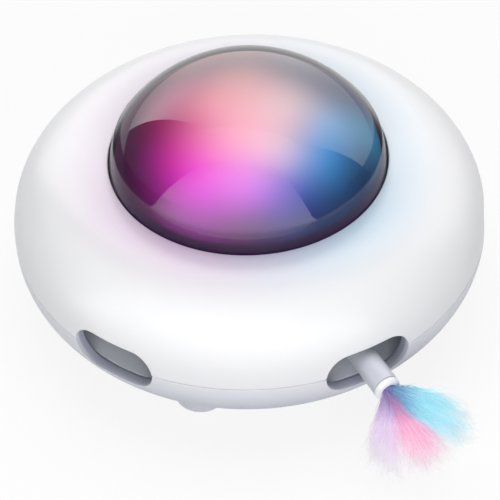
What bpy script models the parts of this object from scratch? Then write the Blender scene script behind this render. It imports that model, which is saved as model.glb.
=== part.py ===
"""Automatic cat toy: a round shell with six side slots, a turntable inside it that carries a
feather wand in and out of the slots, and a smoked dome with a light on top.

Metres, +Z up. The origin is on the floor under the turntable's axis; the wand points along -Y.
"""
import math

import bmesh
import bpy
from mathutils import Matrix, Vector

for old in list(bpy.data.objects):
    bpy.data.objects.remove(old, do_unlink=True)

# Driving sizes: the shell
body_radius = 0.095
widest_height = 0.039
upper_height = 0.0419
lower_depth = 0.0459
upper_power = 2.606
lower_power = 1.95
underside_height = 0.0012
wall = 0.0025
rim_depth = 0.005
band_radius = body_radius - rim_depth
seam_height = 0.0425
seam_gap = 0.0003
gap = 0.0003
overrun = 0.002
tongue_depth = 0.002
tongue_width = 0.0022

# Driving sizes: the shoulder between the round side and the dome
shoulder_width = 0.021
crest_share = 0.5477
crest_height = 0.0722
shoulder_fall_share = 0.26
dome_seat_height = 0.0707
lip_thickness = 0.002

# Driving sizes: the slots
slot_count = 6
slot_width = 0.0345
slot_height = 0.0177
slot_bottom = 0.033

# Driving sizes: the dome and what is under it
dome_base_radius = 0.0547
dome_lean = 0.0025
dome_shoulder_radius = dome_base_radius - dome_lean
dome_band_height = 0.0087
dome_shoulder_height = dome_seat_height + dome_band_height
dome_top_height = 0.1072
dome_wall = 0.0016
flange_width = 0.0028
flange_radius = dome_base_radius + flange_width
flange_thickness = 0.0015
gasket_thickness = 0.0008
deck_boss_reach = 0.005
deck_boss_circle_radius = flange_radius + deck_boss_reach
deck_edge = 0.0055
deck_radius = deck_boss_circle_radius + deck_edge
deck_ring_height = 0.0035
deck_thickness = 0.002
deck_socket_radius = 0.008
deck_socket_depth = 0.0045
diffuser_clearance = 0.0006
skirt_clearance = 0.0014
diffuser_wall = 0.0016
light_board_radius = 0.030
light_board_bore_radius = 0.008
board_thickness = 0.0016
led_count = 8
led_circle_radius = 0.022
led_width = 0.005
led_height = 0.0016

# Driving sizes: the feet
foot_inset = 0.029
foot_circle_radius = body_radius - foot_inset
foot_radius = 0.0095
foot_edge = 0.0008
foot_boss_radius = 0.0106
foot_boss_height = 0.0016
foot_boss_top = 0.0125
foot_recess_depth = 0.0012
foot_first_angle = math.radians(45)
foot_count = 4

# Driving sizes: the fixed post in the middle
post_radius = 0.005
post_bore_radius = 0.003
post_shoulder_radius = 0.0075
post_shoulder_height = 0.022
post_flange_radius = 0.013
post_flange_thickness = 0.004
post_window_bottom = 0.011
post_window_height = 0.005
post_window_width = 0.0044
washer_radius = 0.008
washer_thickness = 0.0008
clip_radius = 0.0075
clip_thickness = 0.001
clip_groove_depth = 0.0009
clip_mouth_width = 0.006

# Driving sizes: the turntable and its gears
turntable_clearance = 0.0005
turntable_radius = band_radius - turntable_clearance
turntable_thickness = 0.003
hub_radius = 0.0095
hub_top_height = 0.036
gear_module = 0.0015
gear_teeth = 40
gear_bore_radius = 0.024
gear_thickness = 0.0045
drive_pinion_teeth = 12
drive_pinion_thickness = 0.0042
slip_ring_inner_radius = 0.016
slip_ring_outer_radius = 0.022
slip_ring_thickness = 0.0014
pressure_angle = math.radians(20)
backlash_share = 0.26
addendum_share = 0.95
dedendum_share = 1.25

# Driving sizes: the wand and what moves it
wand_radius = 0.005
wand_bore_radius = 0.0035
wand_height = 0.042
wand_overhang = 0.0106
wand_end = body_radius + wand_overhang
wand_tube_length = 0.0443
wand_start = wand_end - wand_tube_length
plug_head_length = 0.0024
plug_head_band = 0.0005
plug_end = wand_end + plug_head_length
plug_stem_radius = 0.0031
plug_stem_length = 0.008
rack_module = 0.001
wand_pinion_teeth = 12
wand_pinion_thickness = 0.004
wand_pinion_reach = 0.014
rack_teeth = 20
rack_overlap = 0.0057
rack_end = wand_start + rack_overlap
rack_start = 0.002
rack_width = 0.004
rack_body_height = 0.0035
rod_radius = 0.0015
rod_spacing = 0.019
rod_height = 0.0375
carriage_length = 0.008
carriage_width = 0.025
carriage_bottom = 0.0345
carriage_top = 0.049
front_guide_depth = 0.019
front_guide_start = band_radius - front_guide_depth
front_guide_length = 0.004
front_guide_width = 0.026
front_guide_top = 0.0495
rear_guide_start = 0.010
rear_guide_length = 0.0035
rear_guide_top = 0.041
wand_motor_length = 0.015
wand_gearbox_length = 0.009
wand_motor_width = 0.012
wand_motor_depth = 0.010
wand_shaft_radius = 0.0015
bracket_wall = 0.0015
bracket_screw_inset = 0.003

# Driving sizes: the drive motor, the cell and the boards
drive_motor_radius = 0.012
drive_motor_height = 0.0145
drive_shaft_radius = 0.0015
drive_ear_spacing = 0.032
drive_ear_width = 0.008
drive_ear_thickness = 0.0015
drive_post_radius = 0.003
cell_radius = 0.0092
cell_length = 0.065
cell_place_y = -0.026
cell_nub_radius = 0.003
cell_nub_length = 0.001
tray_wall = 0.0015
tray_height = 0.010
main_board_low = (0.017, -0.012)
main_board_size = (0.030, 0.032)
main_board_height = 0.010
board_post_radius = 0.0022
board_post_inset = 0.0028
button_place = (0.030, 0.0)
button_radius = 0.005
button_flange_radius = 0.0068
button_flange_thickness = 0.001
button_stem_radius = 0.0018
button_stem_top = 0.0068
button_edge = 0.0003
switch_width = 0.006
switch_body_thickness = 0.0013
switch_plunger_radius = 0.0015
switch_plunger_length = 0.0005
connector_start_x = 0.019
connector_depth = 0.005
connector_width = 0.006
connector_height = 0.004
chip_width = 0.007
chip_height = 0.001
port_angle = math.radians(150)
port_height = 0.019
port_width = 0.0090
port_thickness = 0.0032
port_length = 0.0095
port_back_wall = 0.0019
port_tongue_inset = 0.001
port_wall = 0.0003
port_sink = 0.0003
port_tongue_width = 0.0065
port_tongue_thickness = 0.0007
port_board_width = 0.014
port_board_length = 0.012
port_board_thickness = 0.0012
port_board_inset = 0.0083
port_shelf_thickness = 0.0026
brush_place_y = 0.019
brush_block_width = 0.014
brush_block_depth = 0.007
brush_block_top = 0.0225
brush_width = 0.0016
brush_thickness = 0.0008

# Driving sizes: screws and leads
screw_radius = 0.0012
screw_head_radius = 0.0024
screw_head_height = 0.0014
screw_chamfer = 0.00035
case_screw_circle_radius = 0.0098
case_screw_length = 0.0045
case_screw_count = 3
motor_screw_length = 0.005
screw_tip_height = 0.0353
deck_boss_radius = 0.0034
deck_screw_length = 0.0055
deck_screw_count = 4
lead_radius = 0.001

# Driving sizes: the feather plumes; a tip is (sideways, out past the plug, height)
plume_root_radius = 0.0011
plume_root_spread = 0.0026
plume_half_thickness = 0.0040
blue_tip = (0.0225, 0.0235, 0.0290)
blue_half_width = 0.0066
pink_tip = (0.0095, 0.0195, 0.0120)
pink_half_width = 0.0062
lilac_tip = (-0.0050, 0.0055, 0.0030)
lilac_half_width = 0.0062
plume_sag = 0.0045
plume_fan_share = 0.22
plume_start_share = 0.02
plume_swell_share = 0.86

# Counts of faces round a turned piece
fine_sides = 42
dome_sides = 30
medium_sides = 24
small_sides = 12
tiny_sides = 8
outer_cap_steps = 6
inner_cap_steps = 4
plume_sides = 10
plume_rings = 9

# Heights and places that follow from the sizes above
floor_height = underside_height + wall
slot_middle = slot_bottom + slot_height / 2
rim_top = seam_height - seam_gap / 2
cover_bottom = seam_height + seam_gap / 2
tongue_outer_radius = band_radius + tongue_width
turntable_top = slot_bottom
turntable_bottom = turntable_top - turntable_thickness
washer_bottom = post_shoulder_height + gap
hub_bottom = washer_bottom + washer_thickness + gap
gear_radius = gear_module * gear_teeth / 2
drive_pinion_radius = gear_module * drive_pinion_teeth / 2
drive_place_x = -(gear_radius + drive_pinion_radius)
gear_top = turntable_bottom - gap
gear_bottom = gear_top - gear_thickness
wand_pinion_radius = rack_module * wand_pinion_teeth / 2
rack_pitch_height = rod_height + rod_radius + rack_module
wand_pinion_height = rack_pitch_height + wand_pinion_radius
rack_side = carriage_width / 2 + gap
rack_middle_x = rack_side + rack_width / 2
rack_bottom = rack_pitch_height - dedendum_share * rack_module - rack_body_height
fitting_bottom = turntable_top + gap
gearbox_start_x = rack_side + wand_pinion_thickness + 5 * gap
bracket_start_x = gearbox_start_x + gap
bracket_end_x = gearbox_start_x + wand_gearbox_length + wand_motor_length - gap
gasket_top = dome_seat_height - lip_thickness - gap
flange_top = gasket_top - gasket_thickness - gap
flange_bottom = flange_top - flange_thickness
deck_ring_top = flange_bottom - gap
deck_top = deck_ring_top - deck_ring_height
deck_height = deck_top - deck_thickness
deck_socket_bottom = deck_height - deck_socket_depth
diffuser_inset = dome_wall + diffuser_clearance
diffuser_skirt_radius = dome_base_radius - diffuser_inset
deck_ring_inner_radius = diffuser_skirt_radius + skirt_clearance
light_board_bottom = deck_top + gap
light_board_top = light_board_bottom + board_thickness
dome_opening_radius = dome_base_radius + gap
shoulder_radius = dome_opening_radius + shoulder_width
crest_radius = dome_opening_radius + crest_share * shoulder_width
port_fall_share = ((widest_height - port_height) / lower_depth) ** lower_power
port_end_radius = body_radius * (1 - port_fall_share) ** (1 / lower_power) - port_sink
port_board_end_radius = port_end_radius - port_board_inset
post_top = deck_height - gap
clip_bottom = hub_top_height + gap
main_board_top = main_board_height + board_thickness
motor_ear_bottom = gear_bottom - drive_ear_thickness - screw_head_height - 4 * gap


def paint(name, color, roughness, metallic=0.0, alpha=1.0):
    """One plain material for a sub-part."""
    made = bpy.data.materials.new(name)
    made.use_nodes = True
    shader = made.node_tree.nodes["Principled BSDF"]
    shader.inputs["Base Color"].default_value = (*color, 1.0)
    shader.inputs["Roughness"].default_value = roughness
    shader.inputs["Metallic"].default_value = metallic
    shader.inputs["Alpha"].default_value = alpha
    made.diffuse_color = (*color, alpha)
    return made


def finish_mesh(name, shape, made=None, place=(0, 0, 0)):
    """Turn a bmesh into a named object with outward faces and smooth round sides."""
    bmesh.ops.recalc_face_normals(shape, faces=shape.faces)
    if shape.calc_volume(signed=True) < 0:
        bmesh.ops.reverse_faces(shape, faces=shape.faces)
    mesh = bpy.data.meshes.new(name)
    shape.to_mesh(mesh)
    shape.free()
    mesh.shade_smooth()
    mesh.set_sharp_from_angle(angle=math.radians(35))
    piece = bpy.data.objects.new(name, mesh)
    piece.location = place
    if made is not None:
        mesh.materials.append(made)
    bpy.context.scene.collection.objects.link(piece)
    return piece


def lathe(shape, profile, sides, turn=None):
    """Spin a closed outline of (radius, height) points about Z, then carry it to its place."""
    rings = []
    for radius, height in profile:
        count = sides if radius else 1
        ring = []
        for step in range(count):
            angle = 2 * math.pi * (step + 0.5) / count
            point = Vector((radius * math.cos(angle), radius * math.sin(angle), height))
            ring.append(shape.verts.new(turn @ point if turn else point))
        rings.append(ring)
    for first, second in zip(rings, rings[1:] + rings[:1]):
        if len(first) == 1 and len(second) == 1:
            continue
        for step in range(sides):
            after = (step + 1) % sides
            corners = [first[step % len(first)], first[after % len(first)]]
            corners += [second[after % len(second)], second[step % len(second)]]
            shape.faces.new(list(dict.fromkeys(corners)))


def turned(name, profile, made=None, sides=medium_sides, place=(0, 0, 0), turn=None):
    """A solid of revolution from a closed outline of (radius, height) points."""
    shape = bmesh.new()
    lathe(shape, profile, sides, turn)
    return finish_mesh(name, shape, made, place)


def disc(name, radius, low, high, made=None, sides=medium_sides, place=(0, 0), bore=0):
    """An upright cylinder, or a ring where it has a bore."""
    profile = [(bore, low), (radius, low), (radius, high), (bore, high)]
    return turned(name, profile, made, sides, (*place, 0))


def block(name, low, high, made=None):
    """A box between two corners."""
    shape = bmesh.new()
    bmesh.ops.create_cube(shape, size=1)
    size = [top - bottom for bottom, top in zip(low, high)]
    middle = [(top + bottom) / 2 for bottom, top in zip(low, high)]
    shape.transform(Matrix.LocRotScale(Vector(middle), None, Vector(size)))
    return finish_mesh(name, shape, made)


def prism(name, outline, low, high, made=None, turn=None):
    """A flat outline of (x, y) points pushed up from low to high, then turned by a matrix."""
    shape = bmesh.new()
    base = shape.faces.new([shape.verts.new((x, y, low)) for x, y in outline])
    pushed = bmesh.ops.extrude_face_region(shape, geom=[base])
    raised = [part for part in pushed["geom"] if isinstance(part, bmesh.types.BMVert)]
    bmesh.ops.translate(shape, verts=raised, vec=(0, 0, high - low))
    if turn is not None:
        shape.transform(turn)
    return finish_mesh(name, shape, made)


def stadium(width, height, arc_points=8):
    """A slot outline with round ends, centred on zero."""
    radius = height / 2
    offset = width / 2 - radius
    points = []
    for side, start in ((1, -math.pi / 2), (-1, math.pi / 2)):
        for step in range(arc_points + 1):
            turn = start + math.pi * step / arc_points
            points.append((side * offset + radius * math.cos(turn), radius * math.sin(turn)))
    return points


def combine(piece, tool, operation):
    """Cut or add a guide shape, which is then left out of the finished object."""
    change = piece.modifiers.new(operation.lower(), "BOOLEAN")
    change.operation = operation
    change.solver = "EXACT"
    change.object = tool
    tool.hide_render = True
    tool.display_type = "WIRE"


def cut(piece, *tools):
    for tool in tools:
        combine(piece, tool, "DIFFERENCE")


def add(piece, *tools):
    for tool in tools:
        combine(piece, tool, "UNION")


def outward(angle, distance, height=0.0):
    """A point at a distance from the axis; angle zero is towards -Y, turning towards +X."""
    return Vector((distance * math.sin(angle), -distance * math.cos(angle), height))


def along_radius(angle, distance, height):
    """Carries a shape made on X (sideways), Y (up) and Z (outwards) to its place on the shell."""
    sideways = Vector((math.cos(angle), math.sin(angle), 0))
    up = Vector((0, 0, 1))
    out = outward(angle, 1)
    turn = Matrix((sideways, up, out)).transposed().to_4x4()
    return Matrix.Translation(outward(angle, distance, height)) @ turn


def upper_outline(steps, radius=body_radius, height=upper_height, stop=shoulder_radius):
    """Points up the round side, from the widest plane to the shoulder."""
    end = math.acos((stop / radius) ** (upper_power / 2))
    points = []
    for step in range(steps + 1):
        turn = end * step / steps
        reach = radius * math.cos(turn) ** (2 / upper_power)
        points.append((reach, widest_height + height * math.sin(turn) ** (2 / upper_power)))
    return points


def lower_outline(steps, radius=body_radius, depth=lower_depth, stop=underside_height):
    """Points down the round side, from the widest plane to the flat underside."""
    end = math.asin(((widest_height - stop) / depth) ** (lower_power / 2))
    points = []
    for step in range(steps + 1):
        turn = end * step / steps
        reach = radius * math.cos(turn) ** (2 / lower_power)
        points.append((reach, widest_height - depth * math.sin(turn) ** (2 / lower_power)))
    return points


def upper_radius(height):
    share = ((height - widest_height) / upper_height) ** upper_power
    return body_radius * (1 - share) ** (1 / upper_power)


def curve_between(first, second, first_slope, second_slope, steps):
    """A smooth run of (radius, height) points, leaving and arriving at the given slopes."""
    points = []
    span = second[0] - first[0]
    for step in range(1, steps + 1):
        t = step / steps
        height = (2 * t**3 - 3 * t**2 + 1) * first[1] + (3 * t**2 - 2 * t**3) * second[1]
        height += (t**3 - 2 * t**2 + t) * span * first_slope
        height += (t**3 - t**2) * span * second_slope
        points.append((first[0] + span * t, height))
    return points


def shoulder_outline(steps):
    """The shoulder's top: from the round side over a low crest, down to the dome's seat."""
    start = upper_outline(1)[-1]
    near = (start[0] / body_radius) ** (upper_power - 1)
    high = ((start[1] - widest_height) / upper_height) ** (upper_power - 1)
    slope = -upper_height / body_radius * near / high
    crest = (crest_radius, crest_height)
    seat = (dome_opening_radius, dome_seat_height)
    points = curve_between(start, crest, slope, 0, steps)
    return points + curve_between(crest, seat, 0, shoulder_fall_share, steps)


def facing(start, direction):
    """Carries a shape made on +Z to a start point and a direction."""
    return Matrix.Translation(start) @ Vector(direction).to_track_quat("Z", "Y").to_matrix().to_4x4()


def sideways_prism(place_x):
    """Carries an outline drawn in (Y, Z) so that it is pushed along X from a place."""
    return Matrix.Translation((place_x, 0, 0)) @ Matrix(((0, 0, 1), (1, 0, 0), (0, 1, 0))).to_4x4()


def slot_cutter(index):
    angle = 2 * math.pi * index / slot_count
    place = along_radius(angle, 0, slot_middle)
    start = band_radius - 2 * overrun
    end = body_radius + overrun
    return prism(f"slot_guide_{index}", stadium(slot_width, slot_height), start, end, turn=place)


def bottom_shell():
    """Lower half: curved bowl, thick rim with a rebate, foot bosses and posts for the insides."""
    white = paint("bottom_shell_white", (0.87, 0.88, 0.91), 0.38)
    outer = [(upper_radius(rim_top), rim_top)] + lower_outline(7)
    bowl = lower_outline(4, body_radius - wall, lower_depth - wall, floor_height)
    inside = [(0, floor_height)]
    inside += [(min(reach, band_radius), height) for reach, height in reversed(bowl)]
    step_low = seam_height - tongue_depth - seam_gap
    inside += [(band_radius, step_low), (tongue_outer_radius + gap, step_low)]
    inside += [(tongue_outer_radius + gap, rim_top)]
    shell = turned("bottom_shell", outer + [(0, underside_height)] + inside, white, fine_sides)
    sunk = floor_height - wall / 2
    for index in range(foot_count):
        place = outward(foot_first_angle + 2 * math.pi * index / foot_count, foot_circle_radius).xy
        boss = disc(f"foot_boss_guide_{index}", foot_boss_radius, foot_boss_height, foot_boss_top,
                    sides=small_sides, place=place)
        recess = disc(f"foot_recess_guide_{index}", foot_radius + gap, foot_boss_height - overrun,
                      foot_boss_height + foot_recess_depth, sides=small_sides, place=place)
        add(shell, boss)
        cut(shell, recess)
    for side in (-1, 1):
        place = (drive_place_x, side * drive_ear_spacing / 2)
        add(shell, disc(f"motor_post_guide_{side}", drive_post_radius, sunk,
                        motor_ear_bottom - gap, sides=small_sides, place=place))
        cut(shell, disc(f"motor_post_hole_guide_{side}", screw_radius + gap,
                        motor_ear_bottom - deck_screw_length, motor_ear_bottom + overrun,
                        sides=tiny_sides, place=place))
    for index, place in enumerate(board_corners()):
        add(shell, disc(f"board_post_guide_{index}", board_post_radius, sunk,
                        main_board_height - gap, sides=tiny_sides, place=place))
    shelf_start = port_board_end_radius - port_board_length
    shelf_end = body_radius - 2 * overrun
    shelf_top = port_height - port_thickness / 2 - port_board_thickness - 2 * gap
    shelf = prism(
        "port_shelf_guide",
        [(-port_board_width / 2, -port_shelf_thickness), (port_board_width / 2, -port_shelf_thickness),
         (port_board_width / 2, 0), (-port_board_width / 2, 0)],
        shelf_start, shelf_end, turn=along_radius(port_angle, 0, shelf_top),
    )
    skin = turned(
        "shelf_limit_guide",
        [(0, underside_height + wall / 2), (0, widest_height)]
        + lower_outline(12, body_radius - wall / 2, lower_depth - wall / 2),
        sides=fine_sides,
    )
    combine(shelf, skin, "INTERSECT")
    add(shell, shelf)
    hole = prism("port_hole_guide", stadium(port_width + 2 * gap, port_thickness + 2 * gap),
                 port_end_radius - port_length, body_radius,
                 turn=along_radius(port_angle, 0, port_height))
    cut(shell, hole)
    cut(shell, disc("button_hole_guide", button_radius + gap, underside_height - overrun,
                    floor_height + overrun, sides=medium_sides, place=button_place))
    for index in range(case_screw_count):
        place = outward(2 * math.pi * index / case_screw_count, case_screw_circle_radius).xy
        head = underside_height + screw_head_height + gap
        cut(shell, disc(f"case_head_guide_{index}", screw_head_radius + gap,
                        underside_height - overrun, head, sides=small_sides, place=place))
        cut(shell, disc(f"case_hole_guide_{index}", screw_radius + gap, underside_height,
                        floor_height + overrun, sides=tiny_sides, place=place))
    for index in range(slot_count):
        cut(shell, slot_cutter(index))
    return shell


def top_shell():
    """Upper half: round side, low crest, round mouth for the dome, tongue and deck bosses."""
    white = paint("top_shell_white", (0.93, 0.93, 0.95), 0.32)
    outer = [(upper_radius(cover_bottom), cover_bottom)]
    outer += [point for point in upper_outline(6)[1:]]
    shoulder = shoulder_outline(3)
    outer += shoulder
    mouth = [(dome_opening_radius, dome_seat_height - lip_thickness)]
    under = [(reach, height - lip_thickness) for reach, height in shoulder[-3::-2]]
    inner = upper_outline(4, body_radius - wall, upper_height - wall, shoulder_radius)
    inner = [(min(reach, band_radius), height) for reach, height in reversed(inner)]
    band = [point for point in inner if point[1] > cover_bottom + overrun]
    tongue_low = seam_height - tongue_depth
    low = [(band_radius, tongue_low), (tongue_outer_radius, tongue_low)]
    low += [(tongue_outer_radius, cover_bottom)]
    shell = turned("top_shell", outer + mouth + under + band + low, white, fine_sides)
    for index in range(deck_screw_count):
        place = deck_screw_place(index)
        add(shell, disc(f"deck_boss_guide_{index}", deck_boss_radius, deck_top + gap,
                        crest_height - lip_thickness / 2, sides=small_sides, place=place))
        cut(shell, disc(f"deck_boss_hole_guide_{index}", screw_radius + gap, deck_height,
                        deck_top + deck_screw_length, sides=tiny_sides, place=place))
    for index in range(slot_count):
        cut(shell, slot_cutter(index))
    return shell


def deck_screw_place(index):
    angle = foot_first_angle + 2 * math.pi * index / deck_screw_count
    return outward(angle, deck_boss_circle_radius).xy


def board_corners():
    low, size, inset = main_board_low, main_board_size, board_post_inset
    return [
        (low[0] + across, low[1] + along)
        for across in (inset, size[0] - inset)
        for along in (inset, size[1] - inset)
    ]


def feet():
    rubber = paint("foot_rubber", (0.72, 0.73, 0.76), 0.7)
    names = ("front_right", "rear_right", "rear_left", "front_left")
    for index, name in enumerate(names):
        place = outward(foot_first_angle + 2 * math.pi * index / foot_count, foot_circle_radius)
        top = foot_boss_height + foot_recess_depth - gap
        profile = [(0, 0), (foot_radius - foot_edge, 0), (foot_radius, foot_edge)]
        profile += [(foot_radius, top), (0, top)]
        turned(f"rubber_foot_{name}", profile, rubber, small_sides, (place.x, place.y, 0))


def cap_outline(shoulder, low, top, steps, inset=0):
    """A round cap from its edge up to the axis; an inset gives the inside of an even wall."""
    rise = top - low
    radius = (shoulder**2 + rise**2) / (2 * rise)
    middle = top - radius
    widest = math.asin(shoulder / radius)
    points = []
    for step in range(steps):
        turn = widest * (1 - step / steps)
        reach = (radius - inset) * math.sin(turn)
        points.append((reach, middle + (radius - inset) * math.cos(turn)))
    return points + [(0, top - inset)]


def dome_lens():
    """The smoked dome: flange under the shell's lip, steep band, round cap, one even wall."""
    smoke = paint("dome_smoke", (0.16, 0.10, 0.24), 0.06, alpha=0.6)
    outer = [(flange_radius, flange_bottom), (flange_radius, flange_top)]
    outer += [(dome_base_radius, flange_top), (dome_base_radius, dome_seat_height)]
    outer += cap_outline(dome_shoulder_radius, dome_shoulder_height, dome_top_height,
                         outer_cap_steps)
    inner = cap_outline(dome_shoulder_radius, dome_shoulder_height, dome_top_height,
                        inner_cap_steps, dome_wall)
    inner = inner[::-1] + [(dome_base_radius - dome_wall, dome_seat_height)]
    inner += [(dome_base_radius - dome_wall, flange_bottom)]
    turned("dome_lens", outer + inner, smoke, dome_sides)


def dome_gasket():
    rubber = paint("gasket_rubber", (0.20, 0.20, 0.22), 0.8)
    disc("dome_gasket", flange_radius, flange_top + gap, gasket_top, rubber, dome_sides,
         bore=dome_base_radius + gap)


def light_deck():
    """The plate under the dome, with a ring that holds the flange up and a socket for the post."""
    plastic = paint("deck_plastic", (0.80, 0.80, 0.84), 0.5)
    bore = post_radius + gap
    profile = [(post_bore_radius + gap, deck_height), (bore, deck_height)]
    profile += [(bore, deck_socket_bottom), (deck_socket_radius, deck_socket_bottom)]
    profile += [(deck_socket_radius, deck_height), (deck_radius, deck_height)]
    profile += [(deck_radius, deck_top), (flange_radius, deck_top), (flange_radius, deck_ring_top)]
    profile += [(deck_ring_inner_radius, deck_ring_top), (deck_ring_inner_radius, deck_top)]
    profile += [(post_bore_radius + gap, deck_top)]
    deck = turned("light_deck", profile, plastic, medium_sides)
    for index in range(deck_screw_count):
        cut(deck, disc(f"deck_hole_guide_{index}", screw_radius + gap, deck_height - overrun,
                       deck_top + overrun, sides=tiny_sides, place=deck_screw_place(index)))


def light_diffuser():
    """A milky shell that follows the dome's inside closely; its upright skirt stands on the deck."""
    milk = paint("diffuser_milk", (0.92, 0.90, 0.94), 0.6, alpha=0.8)
    low = deck_top + gap
    skirt = diffuser_skirt_radius
    lining = skirt - diffuser_wall
    outer = [(skirt, low), (skirt, dome_seat_height)]
    outer += cap_outline(dome_shoulder_radius, dome_shoulder_height, dome_top_height,
                         inner_cap_steps, diffuser_inset)
    inner = cap_outline(dome_shoulder_radius, dome_shoulder_height, dome_top_height,
                        inner_cap_steps, diffuser_inset + diffuser_wall)[::-1]
    inner += [(lining, dome_seat_height), (lining, low)]
    turned("light_diffuser", outer + inner, milk, dome_sides)


def led_board():
    green = paint("board_green", (0.05, 0.22, 0.12), 0.5)
    board = disc("led_board", light_board_radius, light_board_bottom, light_board_top, green,
                 medium_sides, bore=light_board_bore_radius)
    sunk = board_thickness / 2
    size = Vector((led_width, led_width, led_height + sunk))
    for index in range(led_count):
        angle = 2 * math.pi * (index + 0.5) / led_count
        shape = bmesh.new()
        place = outward(angle, led_circle_radius, light_board_top + (led_height - sunk) / 2)
        turn = Matrix.LocRotScale(place, Matrix.Rotation(angle, 3, "Z").to_quaternion(), size)
        bmesh.ops.create_cube(shape, size=1, matrix=turn)
        add(board, finish_mesh(f"led_guide_{index}", shape))


def screw_profile(length):
    """Head down at zero, shank up."""
    return [
        (0, 0), (screw_head_radius - screw_chamfer, 0), (screw_head_radius, screw_chamfer),
        (screw_head_radius, screw_head_height), (screw_radius, screw_head_height),
        (screw_radius, screw_head_height + length), (0, screw_head_height + length),
    ]


def screws(name, places, length, head_down=True):
    """Equal screws, each at the middle of its head's outer face."""
    steel = paint(f"{name}_steel", (0.62, 0.63, 0.65), 0.3, 1.0)
    turn = Matrix.Rotation(0 if head_down else math.pi, 4, "X")
    for index, place in enumerate(places):
        turned(f"{name}_{index + 1}", screw_profile(length), steel, tiny_sides, place, turn)


def centre_post():
    """The fixed hollow post that the turntable turns on and the lamp's lead runs up in."""
    plastic = paint("post_plastic", (0.75, 0.76, 0.79), 0.45)
    low = floor_height + gap
    flange_high = low + post_flange_thickness
    groove_low = clip_bottom - gap
    groove_high = clip_bottom + clip_thickness + gap
    groove_radius = post_radius - clip_groove_depth
    profile = [(post_bore_radius, low), (post_flange_radius, low), (post_flange_radius, flange_high)]
    profile += [(post_shoulder_radius, flange_high), (post_shoulder_radius, post_shoulder_height)]
    profile += [(post_radius, post_shoulder_height), (post_radius, groove_low)]
    profile += [(groove_radius, groove_low), (groove_radius, groove_high)]
    profile += [(post_radius, groove_high), (post_radius, post_top), (post_bore_radius, post_top)]
    post = turned("centre_post", profile, plastic, medium_sides)
    half = post_window_width / 2
    window = block("post_window_guide", (0, -half, post_window_bottom),
                   (post_flange_radius, half, post_window_bottom + post_window_height))
    cut(post, window)
    for index in range(case_screw_count):
        place = outward(2 * math.pi * index / case_screw_count, case_screw_circle_radius).xy
        cut(post, disc(f"post_hole_guide_{index}", screw_radius + gap, low - overrun,
                       underside_height + screw_head_height + case_screw_length + gap,
                       sides=tiny_sides, place=place))
    washer = paint("washer_plastic", (0.90, 0.86, 0.74), 0.35)
    disc("thrust_washer", washer_radius, washer_bottom, washer_bottom + washer_thickness,
         washer, medium_sides, bore=post_radius + gap)
    steel = paint("clip_steel", (0.55, 0.55, 0.57), 0.3, 1.0)
    clip = disc("retaining_clip", clip_radius, clip_bottom, clip_bottom + clip_thickness,
                steel, medium_sides, bore=groove_radius + gap)
    half = clip_mouth_width / 2
    cut(clip, block("clip_mouth_guide", (-half, 0, clip_bottom - overrun),
                    (half, clip_radius + overrun, clip_bottom + clip_thickness + overrun)))


def involute(angle):
    return math.tan(angle) - angle


def gear_outline(teeth, module, phase):
    """Involute teeth, straight below the base circle, thinned by half of the backlash."""
    pitch = module * teeth / 2
    base = pitch * math.cos(pressure_angle)
    root = pitch - dedendum_share * module
    tip = pitch + addendum_share * module
    half = math.pi / (2 * teeth) - backlash_share * module / (4 * pitch)
    flank = [max(root, base), pitch, tip]
    if root < base:
        flank.insert(0, root)
    points = []
    for index in range(teeth):
        middle = phase + 2 * math.pi * index / teeth
        for side, radii in ((-1, flank), (1, flank[::-1])):
            for radius in radii:
                lean = involute(math.acos(min(1, base / radius)))
                angle = middle + side * (half + involute(pressure_angle) - lean)
                points.append((radius * math.cos(angle), radius * math.sin(angle)))
    return points


def turntable():
    """The turning disc that carries the wand; its top is the floor seen through the slots."""
    grey = paint("turntable_grey", (0.60, 0.62, 0.68), 0.5)
    bore = post_radius + gap
    profile = [(bore, hub_bottom), (hub_radius, hub_bottom), (hub_radius, turntable_bottom)]
    profile += [(turntable_radius, turntable_bottom), (turntable_radius, turntable_top)]
    profile += [(hub_radius, turntable_top), (hub_radius, hub_top_height), (bore, hub_top_height)]
    plate = turned("turntable", profile, grey, fine_sides)
    for index, place in enumerate(mechanism_screw_places()):
        cut(plate, disc(f"plate_hole_guide_{index}", screw_radius + gap,
                        turntable_bottom - overrun, turntable_top + overrun,
                        sides=tiny_sides, place=place))
    acetal = paint("gear_acetal", (0.90, 0.89, 0.84), 0.4)
    outline = gear_outline(gear_teeth, gear_module, 0)
    gear = prism("turntable_gear", outline, gear_bottom, gear_top, acetal)
    cut(gear, disc("gear_bore_guide", gear_bore_radius, gear_bottom - overrun, gear_top + overrun,
                   sides=fine_sides))
    green = paint("slip_ring_green", (0.06, 0.24, 0.14), 0.5)
    top = turntable_bottom - gap
    disc("slip_ring_board", slip_ring_outer_radius, top - slip_ring_thickness, top, green,
         medium_sides, bore=slip_ring_inner_radius)


def drive_pinion():
    acetal = paint("pinion_acetal", (0.88, 0.87, 0.82), 0.4)
    outline = gear_outline(drive_pinion_teeth, gear_module, math.pi / drive_pinion_teeth)
    low = gear_top - drive_pinion_thickness
    pinion = prism("drive_pinion", outline, low, gear_top, acetal)
    pinion.location = (drive_place_x, 0, 0)
    cut(pinion, disc("drive_pinion_bore_guide", drive_shaft_radius + gap, low - overrun,
                     gear_top + overrun, sides=small_sides, place=(drive_place_x, 0)))


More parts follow.
